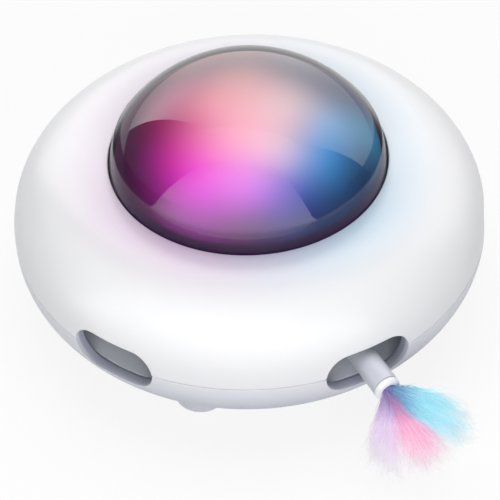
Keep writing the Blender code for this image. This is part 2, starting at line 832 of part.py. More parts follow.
def drive_motor():
    """A flat geared motor on two posts, with its shaft up through the pinion."""
    steel = paint("motor_steel", (0.60, 0.61, 0.63), 0.35, 1.0)
    ear_top = motor_ear_bottom + drive_ear_thickness
    motor = disc("drive_motor", drive_motor_radius, ear_top - drive_motor_height, ear_top, steel,
                 medium_sides, (drive_place_x, 0))
    reach = drive_ear_spacing / 2
    half = drive_ear_width / 2
    ears = block("motor_ear_guide", (drive_place_x - half, -reach - half, motor_ear_bottom),
                 (drive_place_x + half, reach + half, ear_top))
    shaft = disc("motor_shaft_guide", drive_shaft_radius, ear_top - overrun, gear_top,
                 sides=small_sides, place=(drive_place_x, 0))
    add(motor, ears, shaft)
    for side in (-1, 1):
        cut(motor, disc(f"motor_ear_hole_guide_{side}", screw_radius + gap,
                        motor_ear_bottom - overrun, ear_top + overrun, sides=tiny_sides,
                        place=(drive_place_x, side * reach)))
    heads = [(drive_place_x, side * reach, ear_top + gap + screw_head_height) for side in (-1, 1)]
    screws("drive_motor_screw", heads, motor_screw_length, head_down=False)


def battery():
    plastic = paint("tray_plastic", (0.15, 0.15, 0.17), 0.6)
    inside_x = cell_length / 2 + cell_nub_length + gap
    inside_y = cell_radius + gap
    low = floor_height + gap
    floor = low + tray_wall
    tray = block("battery_tray", (-inside_x - tray_wall, cell_place_y - inside_y - tray_wall, low),
                 (inside_x + tray_wall, cell_place_y + inside_y + tray_wall, low + tray_height))
    cut(tray, block("tray_inside_guide", (-inside_x, cell_place_y - inside_y, floor),
                    (inside_x, cell_place_y + inside_y, low + tray_height + overrun)))
    sleeve = paint("cell_sleeve", (0.10, 0.30, 0.55), 0.4)
    half = cell_length / 2
    profile = [(0, -half), (cell_radius, -half), (cell_radius, half), (cell_nub_radius, half)]
    profile += [(cell_nub_radius, half + cell_nub_length), (0, half + cell_nub_length)]
    turned("battery_cell", profile, sleeve, medium_sides,
           turn=facing((0, cell_place_y, floor + gap + cell_radius), (1, 0, 0)))


def main_board():
    """The controller board on four posts, with its connector, chip and switch."""
    green = paint("main_board_green", (0.04, 0.20, 0.11), 0.5)
    low, size = main_board_low, main_board_size
    board = block("main_board", (*low, main_board_height),
                  (low[0] + size[0], low[1] + size[1], main_board_top))
    board.data.materials.append(green)
    sunk = main_board_top - board_thickness / 2
    connector = block("connector_guide", (connector_start_x, -connector_width / 2, sunk),
                      (connector_start_x + connector_depth, connector_width / 2,
                       main_board_top + connector_height))
    chip_low = (button_place[0], button_place[1] + connector_width)
    chip = block("chip_guide", (*chip_low, sunk),
                 (chip_low[0] + chip_width, chip_low[1] + chip_width, main_board_top + chip_height))
    add(board, connector, chip)
    black = paint("switch_black", (0.08, 0.08, 0.09), 0.5)
    top = main_board_height - gap
    half = switch_width / 2
    switch = block("tact_switch",
                   (button_place[0] - half, button_place[1] - half, top - switch_body_thickness),
                   (button_place[0] + half, button_place[1] + half, top), black)
    add(switch, disc("switch_plunger_guide", switch_plunger_radius,
                     top - switch_body_thickness - switch_plunger_length, top - gap,
                     sides=small_sides, place=button_place))


def power_button():
    white = paint("button_white", (0.85, 0.86, 0.90), 0.4)
    seat = floor_height + gap
    profile = [(0, underside_height), (button_radius - button_edge, underside_height)]
    profile += [(button_radius, underside_height + button_edge), (button_radius, seat)]
    profile += [(button_flange_radius, seat), (button_flange_radius, seat + button_flange_thickness)]
    profile += [(button_stem_radius, seat + button_flange_thickness)]
    profile += [(button_stem_radius, button_stem_top), (0, button_stem_top)]
    turned("power_button", profile, white, medium_sides, (*button_place, 0))


def charging_port():
    """A socket in the rear wall on its own small board."""
    steel = paint("port_steel", (0.66, 0.67, 0.70), 0.3, 1.0)
    place = along_radius(port_angle, 0, port_height)
    start = port_end_radius - port_length
    inner = stadium(port_width - 2 * port_wall, port_thickness - 2 * port_wall)
    port = prism("usb_port", stadium(port_width, port_thickness), start, port_end_radius, steel,
                 place)
    cut(port, prism("port_bore_guide", inner, start + port_back_wall,
                    port_end_radius + overrun, turn=place))
    half = port_tongue_width / 2
    thick = port_tongue_thickness / 2
    tongue = [(-half, -thick), (half, -thick), (half, thick), (-half, thick)]
    add(port, prism("port_tongue_guide", tongue, start + port_tongue_inset,
                    port_end_radius - port_tongue_inset, turn=place))
    green = paint("port_board_green", (0.05, 0.21, 0.12), 0.5)
    half = port_board_width / 2
    top = -port_thickness / 2 - gap
    outline = [(-half, top - port_board_thickness), (half, top - port_board_thickness)]
    outline += [(half, top), (-half, top)]
    prism("port_board", outline, port_board_end_radius - port_board_length, port_board_end_radius,
          green, place)


def brush_block():
    """The block under the slip ring, with two sprung brushes standing on it."""
    black = paint("brush_block_black", (0.10, 0.10, 0.11), 0.6)
    half = brush_block_width / 2
    deep = brush_block_depth / 2
    block("brush_block", (-half, brush_place_y - deep, floor_height + gap),
          (half, brush_place_y + deep, brush_block_top), black)
    brass = paint("brush_brass", (0.80, 0.62, 0.30), 0.35, 1.0)
    high = turntable_bottom - 2 * gap - slip_ring_thickness
    low = brush_block_top + gap
    for side, name in ((-1, "inner"), (1, "outer")):
        middle = brush_place_y + side * brush_width
        block(f"{name}_brush", (-brush_width / 2, middle - brush_thickness / 2, low),
              (brush_width / 2, middle + brush_thickness / 2, high), brass)


def guide_block(name, start, length, width, top, tube_bore, made):
    """A block across the two rods, bored for them and, at the front, for the wand's tube."""
    low = carriage_bottom if name == "wand_carriage" else fitting_bottom
    piece = block(name, (-width / 2, -start - length, low), (width / 2, -start, top), made)
    for side in (-1, 1):
        place = (side * rod_spacing / 2, -start + overrun, rod_height)
        cut(piece, turned(f"{name}_rod_guide_{side}",
                          bored_outline(rod_radius + gap, length + 2 * overrun),
                          sides=small_sides, turn=facing(place, (0, -1, 0))))
    if tube_bore:
        place = (0, -start - length - overrun, wand_height)
        cut(piece, turned(f"{name}_tube_guide", bored_outline(wand_radius + gap, tube_bore + overrun),
                          sides=medium_sides, turn=facing(place, (0, 1, 0))))
    return piece


def bored_outline(radius, length):
    return [(0, 0), (radius, 0), (radius, length), (0, length)]


def mechanism_screw_places():
    """Where the guides and the wand's motor are screwed down, as (x, y)."""
    rear = -rear_guide_start - rear_guide_length / 2
    front = -front_guide_start - front_guide_length / 2
    bracket = bracket_end_x - bracket_screw_inset
    motor = -wand_pinion_reach
    spread = wand_motor_width / 2 - bracket_wall
    return [
        (-wand_radius, rear), (wand_radius, rear),
        (-wand_radius, front), (wand_radius, front),
        (bracket, motor - spread), (bracket, motor + spread),
    ]


def wand_guides():
    plastic = paint("guide_plastic", (0.35, 0.36, 0.40), 0.5)
    pieces = [
        guide_block("rear_guide", rear_guide_start, rear_guide_length, carriage_width,
                    rear_guide_top, 0, plastic),
        guide_block("front_guide", front_guide_start, front_guide_length, front_guide_width,
                    front_guide_top, front_guide_length + overrun, plastic),
        motor_bracket(plastic),
    ]
    for piece in pieces:
        for index, place in enumerate(mechanism_screw_places()):
            cut(piece, disc(f"{piece.name}_screw_guide_{index}", screw_radius + gap,
                            turntable_top, screw_tip_height + gap, sides=tiny_sides, place=place))
    steel = paint("rod_steel", (0.70, 0.71, 0.73), 0.2, 1.0)
    start = rear_guide_start + gap
    length = front_guide_start + front_guide_length - gap - start
    for side, name in ((-1, "guide_rod_left"), (1, "guide_rod_right")):
        place = (side * rod_spacing / 2, -start, rod_height)
        turned(name, bored_outline(rod_radius, length), steel, small_sides,
               turn=facing(place, (0, -1, 0)))


def motor_bracket(made):
    """A saddle that holds the wand's motor level with its pinion."""
    half = wand_motor_width / 2
    low = wand_pinion_height - wand_motor_depth / 2 - gap
    middle = -wand_pinion_reach
    saddle = block("wand_motor_bracket", (bracket_start_x, middle - half - bracket_wall, fitting_bottom),
                   (bracket_end_x, middle + half + bracket_wall, wand_pinion_height), made)
    cut(saddle, block("saddle_guide", (bracket_start_x - overrun, middle - half - gap, low),
                      (bracket_end_x + overrun, middle + half + gap, wand_pinion_height + overrun)))
    return saddle


def wand_motor():
    """A small flat-sided motor with its gearbox and shaft, lying across the wand's travel."""
    steel = paint("wand_motor_steel", (0.66, 0.66, 0.68), 0.3, 1.0)
    middle = -wand_pinion_reach
    half = wand_motor_width / 2
    deep = wand_motor_depth / 2
    end = gearbox_start_x + wand_gearbox_length
    motor = block("wand_motor", (gearbox_start_x, middle - half, wand_pinion_height - deep),
                  (end, middle + half, wand_pinion_height + deep), steel)
    place = Matrix.Translation((0, middle, wand_pinion_height)) @ sideways_prism(0)
    can = prism("wand_can_guide", stadium(wand_motor_width, wand_motor_depth, 6), end - overrun,
                end + wand_motor_length, turn=place)
    shaft = turned("wand_shaft_guide",
                   bored_outline(wand_shaft_radius, gearbox_start_x + overrun - rack_side),
                   sides=small_sides,
                   turn=facing((rack_side, middle, wand_pinion_height), (1, 0, 0)))
    add(motor, can, shaft)


def wand_pinion():
    acetal = paint("wand_pinion_acetal", (0.88, 0.87, 0.82), 0.4)
    half = wand_pinion_thickness / 2
    turn = sideways_prism(0)
    outline = gear_outline(wand_pinion_teeth, rack_module, -math.pi / 2)
    pinion = prism("wand_pinion", outline, -half, half, acetal, turn)
    place = Vector((rack_middle_x, -wand_pinion_reach, wand_pinion_height))
    pinion.location = place
    bore = turned("wand_pinion_bore_guide",
                  bored_outline(wand_shaft_radius + gap, wand_pinion_thickness + 2 * overrun),
                  sides=small_sides, turn=facing((-half - overrun, 0, 0), (1, 0, 0)))
    bore.location = place
    cut(pinion, bore)


def wand_rack():
    """A toothed bar beside the carriage, with its teeth up to the pinion."""
    acetal = paint("rack_acetal", (0.88, 0.87, 0.82), 0.4)
    pitch = math.pi * rack_module
    slope = math.tan(pressure_angle)
    root = rack_pitch_height - dedendum_share * rack_module
    tip = rack_pitch_height + addendum_share * rack_module
    half = pitch / 4 - backlash_share * rack_module / 4
    rear = -rack_start
    points = [(-rack_end, rack_bottom), (rear, rack_bottom), (rear, root)]
    first = -wand_pinion_reach + pitch / 2
    while first + pitch + half < rear - rack_module:
        first += pitch
    for index in range(rack_teeth):
        middle = first - index * pitch
        if middle - pitch / 2 < -rack_end:
            break
        points += [
            (middle + half + slope * (rack_pitch_height - root), root),
            (middle + half - slope * (tip - rack_pitch_height), tip),
            (middle - half + slope * (tip - rack_pitch_height), tip),
            (middle - half - slope * (rack_pitch_height - root), root),
        ]
    points.append((-rack_end, root))
    prism("wand_rack", points, rack_side, rack_side + rack_width, acetal, sideways_prism(0))


def wand():
    plastic = paint("carriage_plastic", (0.30, 0.31, 0.34), 0.5)
    start = rack_end - carriage_length
    depth = rack_end - wand_start + gap
    guide_block("wand_carriage", start, carriage_length, carriage_width, carriage_top, depth, plastic)
    tube_white = paint("tube_white", (0.88, 0.89, 0.93), 0.35)
    length = wand_end - wand_start
    profile = [(wand_bore_radius, 0), (wand_radius, 0), (wand_radius, length)]
    profile += [(wand_bore_radius, length)]
    turned("wand_tube", profile, tube_white, medium_sides,
           turn=facing((0, -wand_start, wand_height), (0, -1, 0)))
    plug_white = paint("plug_white", (0.90, 0.90, 0.94), 0.35)
    cap_start = plug_stem_length + gap
    head = plug_end - wand_end - gap
    profile = [(0, 0), (plug_stem_radius, 0), (plug_stem_radius, cap_start), (wand_radius, cap_start)]
    profile += cap_outline(wand_radius, cap_start + plug_head_band, cap_start + head,
                           inner_cap_steps)
    turned("feather_plug", profile, plug_white, medium_sides,
           turn=facing((0, -wand_end + plug_stem_length, wand_height), (0, -1, 0)))


def plume(name, color, root, tip, half_width, fan_normal):
    """A soft feather as one closed body: thin at the plug, widest past the middle, blunt tip."""
    made = paint(f"{name}_down", color, 0.9)
    root, tip = Vector(root), Vector(tip)
    lift = Vector((0, -1, 1)).normalized() * plume_sag
    middle = (root + tip) / 2 + lift
    shape = bmesh.new()
    loops = []
    for step in range(plume_rings + 1):
        t = step / plume_rings
        point = (1 - t) ** 2 * root + 2 * t * (1 - t) * middle + t**2 * tip
        along = (2 * (1 - t) * (middle - root) + 2 * t * (tip - middle)).normalized()
        across = fan_normal.cross(along).normalized()
        through = along.cross(across).normalized()
        swell = math.sin(math.pi * (plume_start_share + plume_swell_share * t))
        room = plume_root_radius + plume_fan_share * (point - root).length
        wide = min(plume_root_radius + (half_width - plume_root_radius) * swell, room)
        thick = plume_root_radius + (plume_half_thickness - plume_root_radius) * swell
        loop = []
        for side in range(plume_sides):
            angle = 2 * math.pi * side / plume_sides
            offset = wide * math.cos(angle) * across + thick * math.sin(angle) * through
            loop.append(shape.verts.new(point + offset))
        loops.append(loop)
    for first, second in zip(loops, loops[1:]):
        for side in range(plume_sides):
            after = (side + 1) % plume_sides
            shape.faces.new((first[side], first[after], second[after], second[side]))
    shape.faces.new(loops[0])
    shape.faces.new(loops[-1])
    finish_mesh(name, shape, made)


def feathers():
    start = Vector((0, -plug_end - plume_root_radius, wand_height))
    blue, pink, lilac = (
        Vector((tip[0], -plug_end - tip[1], tip[2])) for tip in (blue_tip, pink_tip, lilac_tip)
    )
    normal = (blue - start).cross(lilac - start).normalized()
    spread = Vector((plume_root_spread, 0, 0))
    plume("feather_blue", (0.35, 0.62, 0.90), start + spread, blue, blue_half_width, normal)
    plume("feather_pink", (0.93, 0.45, 0.70), start, pink, pink_half_width, normal)
    plume("feather_lilac", (0.78, 0.70, 0.90), start - spread, lilac, lilac_half_width, normal)


def smooth_route(points, steps=2):
    """Points on one smooth curve through a route's own points."""
    points = [Vector(point) for point in points]
    padded = [2 * points[0] - points[1]] + points + [2 * points[-1] - points[-2]]
    route = []
    for a, b, c, d in zip(padded, padded[1:], padded[2:], padded[3:]):
        for step in range(steps):
            t = step / steps
            pull = (c - a) * t + (2 * a - 5 * b + 4 * c - d) * t**2
            route.append(b + (pull + (3 * b - a - 3 * c + d) * t**3) / 2)
    return route + [points[-1]]


def lead(name, color, points):
    """A round lead that the body holds all the way."""
    made = paint(f"{name}_sheath", color, 0.5)
    route = smooth_route(points)
    curve = bpy.data.curves.new(name, "CURVE")
    curve.dimensions = "3D"
    curve.bevel_depth = lead_radius
    curve.bevel_resolution = 2
    curve.use_fill_caps = True
    spline = curve.splines.new("POLY")
    spline.points.add(len(route) - 1)
    for point, place in zip(spline.points, route):
        point.co = (*place, 1)
    curve.materials.append(made)
    bpy.context.scene.collection.objects.link(bpy.data.objects.new(name, curve))


def leads():
    window = post_window_bottom + post_window_height / 2
    inside = deck_height - post_flange_radius
    over_board = light_board_top + gap + lead_radius
    landing = light_board_bore_radius + 2 * lead_radius
    lead("led_lead", (0.85, 0.85, 0.88), [
        (connector_start_x - gap, 0, window),
        (post_flange_radius, 0, window),
        (post_radius, 0, window + lead_radius / 4),
        (lead_radius, 0, window + 2 * lead_radius),
        (0, 0, window + 5 * lead_radius),
        (0, 0, (window + inside) / 2),
        (0, 0, inside),
        (0, 0, deck_top),
        (lead_radius, 0, over_board - lead_radius / 2),
        (post_radius, 0, over_board + lead_radius / 4),
        (landing, 0, over_board),
        (landing + 2 * lead_radius, 0, over_board),
    ])
    tray_side = cell_place_y + cell_radius + gap + tray_wall + gap
    board_side = main_board_low[1] - gap
    level = main_board_height + board_thickness / 2
    lead("battery_lead", (0.75, 0.12, 0.10), [
        (button_place[0], tray_side, level),
        (button_place[0], (tray_side + board_side) / 2, level),
        (button_place[0], board_side, level),
    ])


bottom_shell()
top_shell()
feet()
dome_lens()
dome_gasket()
light_deck()
light_diffuser()
led_board()
centre_post()
screws("deck_screw",
       [(*deck_screw_place(index), deck_height - gap - screw_head_height)
        for index in range(deck_screw_count)],
       deck_thickness + deck_screw_length - 2 * gap)
screws("case_screw",
       [(*outward(2 * math.pi * index / case_screw_count, case_screw_circle_radius).xy,
         underside_height) for index in range(case_screw_count)],
       case_screw_length)
turntable()
drive_pinion()
drive_motor()
battery()
main_board()
power_button()
charging_port()
brush_block()
wand_guides()
screws("mechanism_screw",
       [(*place, turntable_bottom - gap - screw_head_height) for place in mechanism_screw_places()],
       screw_tip_height - turntable_bottom + gap)
wand_motor()
wand_pinion()
wand_rack()
wand()
feathers()
leads()
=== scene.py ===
import math

import bmesh
import bpy
import numpy as np
from mathutils import Matrix, Vector


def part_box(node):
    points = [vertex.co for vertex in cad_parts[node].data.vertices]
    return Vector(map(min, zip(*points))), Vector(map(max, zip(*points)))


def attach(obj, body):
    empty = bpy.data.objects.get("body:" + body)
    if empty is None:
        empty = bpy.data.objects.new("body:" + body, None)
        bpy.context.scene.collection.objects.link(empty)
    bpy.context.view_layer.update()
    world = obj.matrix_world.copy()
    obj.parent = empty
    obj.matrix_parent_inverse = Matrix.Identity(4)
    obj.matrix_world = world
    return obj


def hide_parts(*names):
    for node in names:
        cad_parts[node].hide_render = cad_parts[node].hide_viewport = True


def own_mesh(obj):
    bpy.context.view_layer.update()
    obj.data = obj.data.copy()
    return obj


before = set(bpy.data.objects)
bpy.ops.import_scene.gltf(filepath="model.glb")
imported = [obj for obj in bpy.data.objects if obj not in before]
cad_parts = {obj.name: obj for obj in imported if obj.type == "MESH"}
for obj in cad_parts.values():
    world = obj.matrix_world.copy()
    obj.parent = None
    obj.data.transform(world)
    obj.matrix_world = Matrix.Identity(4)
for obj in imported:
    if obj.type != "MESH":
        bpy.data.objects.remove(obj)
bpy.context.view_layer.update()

# Sizes shared with the CAD, in metres
body_radius = 0.095
widest_height = 0.039
upper_height = 0.0419
lower_depth = 0.0459
upper_power = 2.606
lower_power = 1.95
underside_height = 0.0012
wall = 0.0025
rim_inner_radius = 0.090
seam_height = 0.0425
seam_gap = 0.0003
shoulder_radius = 0.076
crest = (0.0665, 0.0722)
dome_seat_height = 0.0707
dome_opening_radius = 0.0550
shoulder_fall = 0.26
lip_thickness = 0.002
slot_width = 0.0345
slot_height = 0.0177
slot_middle = 0.04185
slot_count = 6
cover_patch_top = 0.056
bowl_patch_low = 0.0275
bottom_disc_radius = 0.003
dome_base_radius = 0.0547
dome_shoulder_radius = 0.0522
dome_shoulder_height = 0.0794
dome_top_height = 0.1072
dome_wall = 0.0016
flange_radius = 0.0575
flange_low = 0.0658
flange_high = 0.0673
lamp_radius = 0.0525
lamp_low = 0.0623
lamp_inset = 0.0022
lamp_wall = 0.0016
lamp_lit_above = 0.0725
dome_edge_rounding = 0.0010
foot_circle_radius = 0.066
foot_radius = 0.0095
foot_thickness = 0.0025
foot_edge_rounding = 0.0009
foot_boss_radius = 0.0106
foot_boss_low = 0.0016
foot_boss_high = 0.0120
foot_boss_edge_rounding = 0.0004
foot_pocket_radius = 0.0098
foot_pocket_top = 0.0028
wand_height = 0.042
wand_start = 0.0613
wand_end = 0.1056
wand_radius = 0.005
wand_bore_radius = 0.0035
wand_edge_rounding = 0.0003
plug_end = 0.108
plug_stem_radius = 0.0031
plug_stem_length = 0.0077
plug_edge_rounding = 0.0014
feather_socket_radius = 0.0022
feather_socket_edge_radius = 0.0028
feather_socket_depth = 0.0016
feather_socket_rise = 0.0002
feather_socket_rounding = 0.0005
port_width = 0.009
port_height = 0.0032
port_start = 0.074
fit_clearance = 0.0003
screw_count = 3
screw_head_height = 0.0014

# How finely the smooth pieces are made
round_columns = 288
patch_columns = 24
patch_rows = 12
patch_rings = 7
edge_rounding = 0.00035

# The feathers' hairs
hair_count = 1100
hair_steps = 8
hair_radius = 0.000085
quill_count = 26

# The lamp's glow and the shade below the dome are painted on the shell from the outer radius to the inner
# one, in full there
painted_glow_radius = 0.082
painted_glow_full_radius = 0.056

# Where the slots' cut walls start, which get a painted shade: inside this radius, and this far past a slot
skin_radius = 0.0932
slot_shade_margin = 0.00115

# The photograph's right, level with the floor, as x and y
right_x = 0.896
right_y = -0.443

# The dome's smoke hides this share of the lamp, and the lamp is brighter to match
smoke_cover = 0.80
glow_strength = 5.2


class Value:
    """A shader value; sums, products and the like become math nodes."""

    def __init__(self, look, socket):
        self.look = look
        self.socket = socket

    def math(self, operation, *others):
        node = self.look.tree.nodes.new("ShaderNodeMath")
        node.operation = operation
        for socket, value in zip(node.inputs, (self, *others)):
            self.look.put(socket, value)
        return Value(self.look, node.outputs[0])

    def __add__(self, other):
        return self.math("ADD", other)

    def __sub__(self, other):
        return self.math("SUBTRACT", other)

    def __rsub__(self, other):
        return self * -1 + other

    def __mul__(self, other):
        return self.math("MULTIPLY", other)

    __radd__ = __add__
    __rmul__ = __mul__

    def __pow__(self, other):
        return self.math("POWER", other)

    def between(self, low, high):
        """A soft step from 0 at low to 1 at high."""
        return self.look.node(
            "ShaderNodeMapRange",
            {"Value": self, "From Min": low, "From Max": high},
            interpolation_type="SMOOTHSTEP",
        )


class Look:
    """One node material around a Principled shader."""

    def __init__(self, name, **constants):
        self.material = bpy.data.materials.new(name)
        self.material.use_nodes = True
        self.tree = self.material.node_tree
        self.shader = self.tree.nodes["Principled BSDF"]
        for words, value in constants.items():
            self.set(words.replace("_", " ").title().replace("Ior", "IOR"), value)

    def put(self, socket, value):
        """A socket takes another node's value, a colour, or a number."""
        if isinstance(value, Value):
            self.tree.links.new(value.socket, socket)
        elif socket.type == "RGBA":
            socket.default_value = (*value, 1.0)
        else:
            socket.default_value = value

    def set(self, name, value):
        self.put(self.shader.inputs[name], value)

    def node(self, kind, inputs=None, output=0, **settings):
        made = self.tree.nodes.new(kind)
        for name, value in settings.items():
            setattr(made, name, value)
        for name, value in (inputs or {}).items():
            self.put(made.inputs[name], value)
        return Value(self, made.outputs[output])

    def place(self):
        """The point on the object, as a vector."""
        return self.node("ShaderNodeTexCoord", output=3)

    def along(self, direction):
        """How far the point lies in a direction, in metres."""
        return self.node(
            "ShaderNodeVectorMath",
            {0: self.place(), 1: direction},
            output=1,
            operation="DOT_PRODUCT",
        )

    def noise(self, scale, detail=2.0):
        return self.node(
            "ShaderNodeTexNoise", {"Vector": self.place(), "Scale": scale, "Detail": detail}
        )

    def mixed(self, factor, first, second):
        """Two colours mixed by a factor."""
        made = self.tree.nodes.new("ShaderNodeMix")
        made.data_type = "RGBA"
        self.put(made.inputs["Factor"], factor)
        self.put(made.inputs[6], first)
        self.put(made.inputs[7], second)
        return Value(self, made.outputs[2])

    def relief(self, height, distance):
        """Small bumps on the surface."""
        self.set("Normal", self.node("ShaderNodeBump", {"Height": height, "Distance": distance}))


def darker(color, share):
    return tuple(part * share for part in color)


def plain_look(name, color, roughness, metallic=0.0, grain=900.0, unevenness=0.05, relief=0.00002):
    """A slightly uneven moulded, rubber or metal surface."""
    look = Look(name, metallic=metallic)
    cloud = look.noise(grain)
    look.set("Base Color", look.mixed(cloud, darker(color, 1 - unevenness), color))
    look.set("Roughness", cloud * 0.08 + (roughness - 0.04))
    look.relief(cloud, relief)
    return look


def right_hand(distance):
    """Picture right, level, at a distance from the axis, as a vector."""
    return (distance * right_x, distance * right_y, 0)


def away(distance):
    """Away from the camera, level."""
    return (-distance * right_y, distance * right_x, 0)


# The smooth outlines, as (radius, height) points


def side_radius(height):
    if height >= widest_height:
        share = ((height - widest_height) / upper_height) ** upper_power
        return body_radius * (1 - share) ** (1 / upper_power)
    share = ((widest_height - height) / lower_depth) ** lower_power
    return body_radius * (1 - share) ** (1 / lower_power)


def even_steps(start, end, count):
    return [start + (end - start) * step / count for step in range(count + 1)]


def upper_side(low, steps):
    """Up the round side by equal turns, from a height to the shoulder."""
    first = math.asin(((low - widest_height) / upper_height) ** (upper_power / 2))
    last = math.acos((shoulder_radius / body_radius) ** (upper_power / 2))
    points = []
    for turn in even_steps(first, last, steps):
        reach = body_radius * math.cos(turn) ** (2 / upper_power)
        points.append((reach, widest_height + upper_height * math.sin(turn) ** (2 / upper_power)))
    return points


def lower_side(high, steps):
    """Down the round side by equal turns, from a height to the underside."""
    first = math.asin(((widest_height - high) / lower_depth) ** (lower_power / 2))
    last = math.asin(((widest_height - underside_height) / lower_depth) ** (lower_power / 2))
    points = []
    for turn in even_steps(first, last, steps):
        reach = body_radius * math.cos(turn) ** (2 / lower_power)
        points.append((reach, widest_height - lower_depth * math.sin(turn) ** (2 / lower_power)))
    return points


def smooth_run(first, second, first_slope, second_slope, steps):
    points = []
    span = second[0] - first[0]
    for t in even_steps(0, 1, steps)[1:]:
        height = (2 * t**3 - 3 * t**2 + 1) * first[1] + (3 * t**2 - 2 * t**3) * second[1]
        height += (t**3 - 2 * t**2 + t) * span * first_slope + (t**3 - t**2) * span * second_slope
        points.append((first[0] + span * t, height))
    return points


def shoulder(start, steps):
    near = (start[0] / body_radius) ** (upper_power - 1)
    high = ((start[1] - widest_height) / upper_height) ** (upper_power - 1)
    slope = -upper_height / body_radius * near / high
    seat = (dome_opening_radius, dome_seat_height)
    return smooth_run(start, crest, slope, 0, steps) + smooth_run(crest, seat, 0, shoulder_fall, steps)


def rounded(points, corner, radius, steps=5):
    """The outline with one corner replaced by an arc-like curve that starts a radius before it."""
    before, point, after = (Vector(points[corner + step]) for step in (-1, 0, 1))
    first = point + (before - point).normalized() * radius
    last = point + (after - point).normalized() * radius
    arc = []
    for t in even_steps(0, 1, steps):
        arc.append(tuple((1 - t) ** 2 * first + 2 * t * (1 - t) * point + t**2 * last))
    return points[:corner] + arc + points[corner + 1:]


dome_rise = dome_top_height - dome_shoulder_height
dome_sphere = (dome_shoulder_radius**2 + dome_rise**2) / (2 * dome_rise)
dome_middle_height = dome_top_height - dome_sphere


def dome_arc(edge_radius, inset, steps):
    """From a radius up to the axis, along the dome's sphere or one that lies inside it."""
    radius = dome_sphere - inset
    points = []
    for turn in even_steps(math.asin(edge_radius / radius), 0, steps)[:-1]:
        points.append((radius * math.sin(turn), dome_middle_height + radius * math.cos(turn)))
    return points + [(0, dome_middle_height + radius)]


# Meshes


def piece_from(name, shape, look, body, sharp_from=40):
    """A bmesh becomes a smooth piece that rides on a body."""
    bmesh.ops.recalc_face_normals(shape, faces=shape.faces)
    if shape.calc_volume(signed=True) < 0:
        bmesh.ops.reverse_faces(shape, faces=shape.faces)
    mesh = bpy.data.meshes.new(name)
    shape.to_mesh(mesh)
    shape.free()
    mesh.shade_smooth()
    mesh.set_sharp_from_angle(angle=math.radians(sharp_from))
    mesh.materials.append(look.material)
    piece = bpy.data.objects.new(name, mesh)
    bpy.context.scene.collection.objects.link(piece)
    if body:
        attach(piece, body)
    return piece


def spun(profile, sides, turn=None):
    """A bmesh made by turning a closed outline about Z."""
    shape = bmesh.new()
    rings = []
    for radius, height in profile:
        ring = []
        for step in range(sides if radius else 1):
            angle = 2 * math.pi * step / sides
            point = Vector((radius * math.cos(angle), radius * math.sin(angle), height))
            ring.append(shape.verts.new(turn @ point if turn else point))
        rings.append(ring)
    for first, second in zip(rings, rings[1:] + rings[:1]):
        if len(first) == 1 and len(second) == 1:
            continue
        for step in range(sides):
            after = (step + 1) % sides
            corners = [first[step % len(first)], first[after % len(first)]]
            corners += [second[after % len(second)], second[step % len(second)]]
            shape.faces.new(list(dict.fromkeys(corners)))
    return shape


def on_shell(angle, radius, height):
    """A point of the shell; angle zero is towards -Y, turning towards +X."""
    return Vector((radius * math.sin(angle), -radius * math.cos(angle), height))


def half_slot_outline(upward):
    """The slot's upper or lower half as (sideways, height) points, from its +X end to its -X end."""
    radius = slot_height / 2
    reach = slot_width / 2 - radius
    seam = seam_height + (seam_gap / 2 if upward else -seam_gap / 2)
    side = 1 if upward else -1
    start = math.asin((seam - slot_middle) * side / radius)
    points = []
    for turn in even_steps(start, math.pi / 2, patch_rows):
        points.append((reach + radius * math.cos(turn), slot_middle + side * radius * math.sin(turn)))
    for across in even_steps(reach, -reach, patch_columns)[1:]:
        points.append((across, slot_middle + side * radius))
    for turn in even_steps(math.pi / 2, math.pi - start, patch_rows)[1:]:
        points.append((-reach + radius * math.cos(turn), slot_middle + side * radius * math.sin(turn)))
    return points


def inner_outline(outer, upward):
    """The outline one wall further in; the thick rim near the slots stays at its own radius."""
    inner = []
    to_inside = Vector((-1, -0.6 if upward else 0.6))
    for index, (reach, height) in enumerate(outer):
        before = Vector(outer[max(index - 1, 0)])
        after = Vector(outer[min(index + 1, len(outer) - 1)])
        along = (after - before).normalized()
        inward = Vector((-along.y, along.x))
        if inward.dot(to_inside) < 0:
            inward = -inward
        if index <= patch_rows:
            inner.append((min(reach - wall, rim_inner_radius), height))
        else:
            inner.append((min(reach + inward.x * wall, rim_inner_radius), height + inward.y * wall))
    return inner


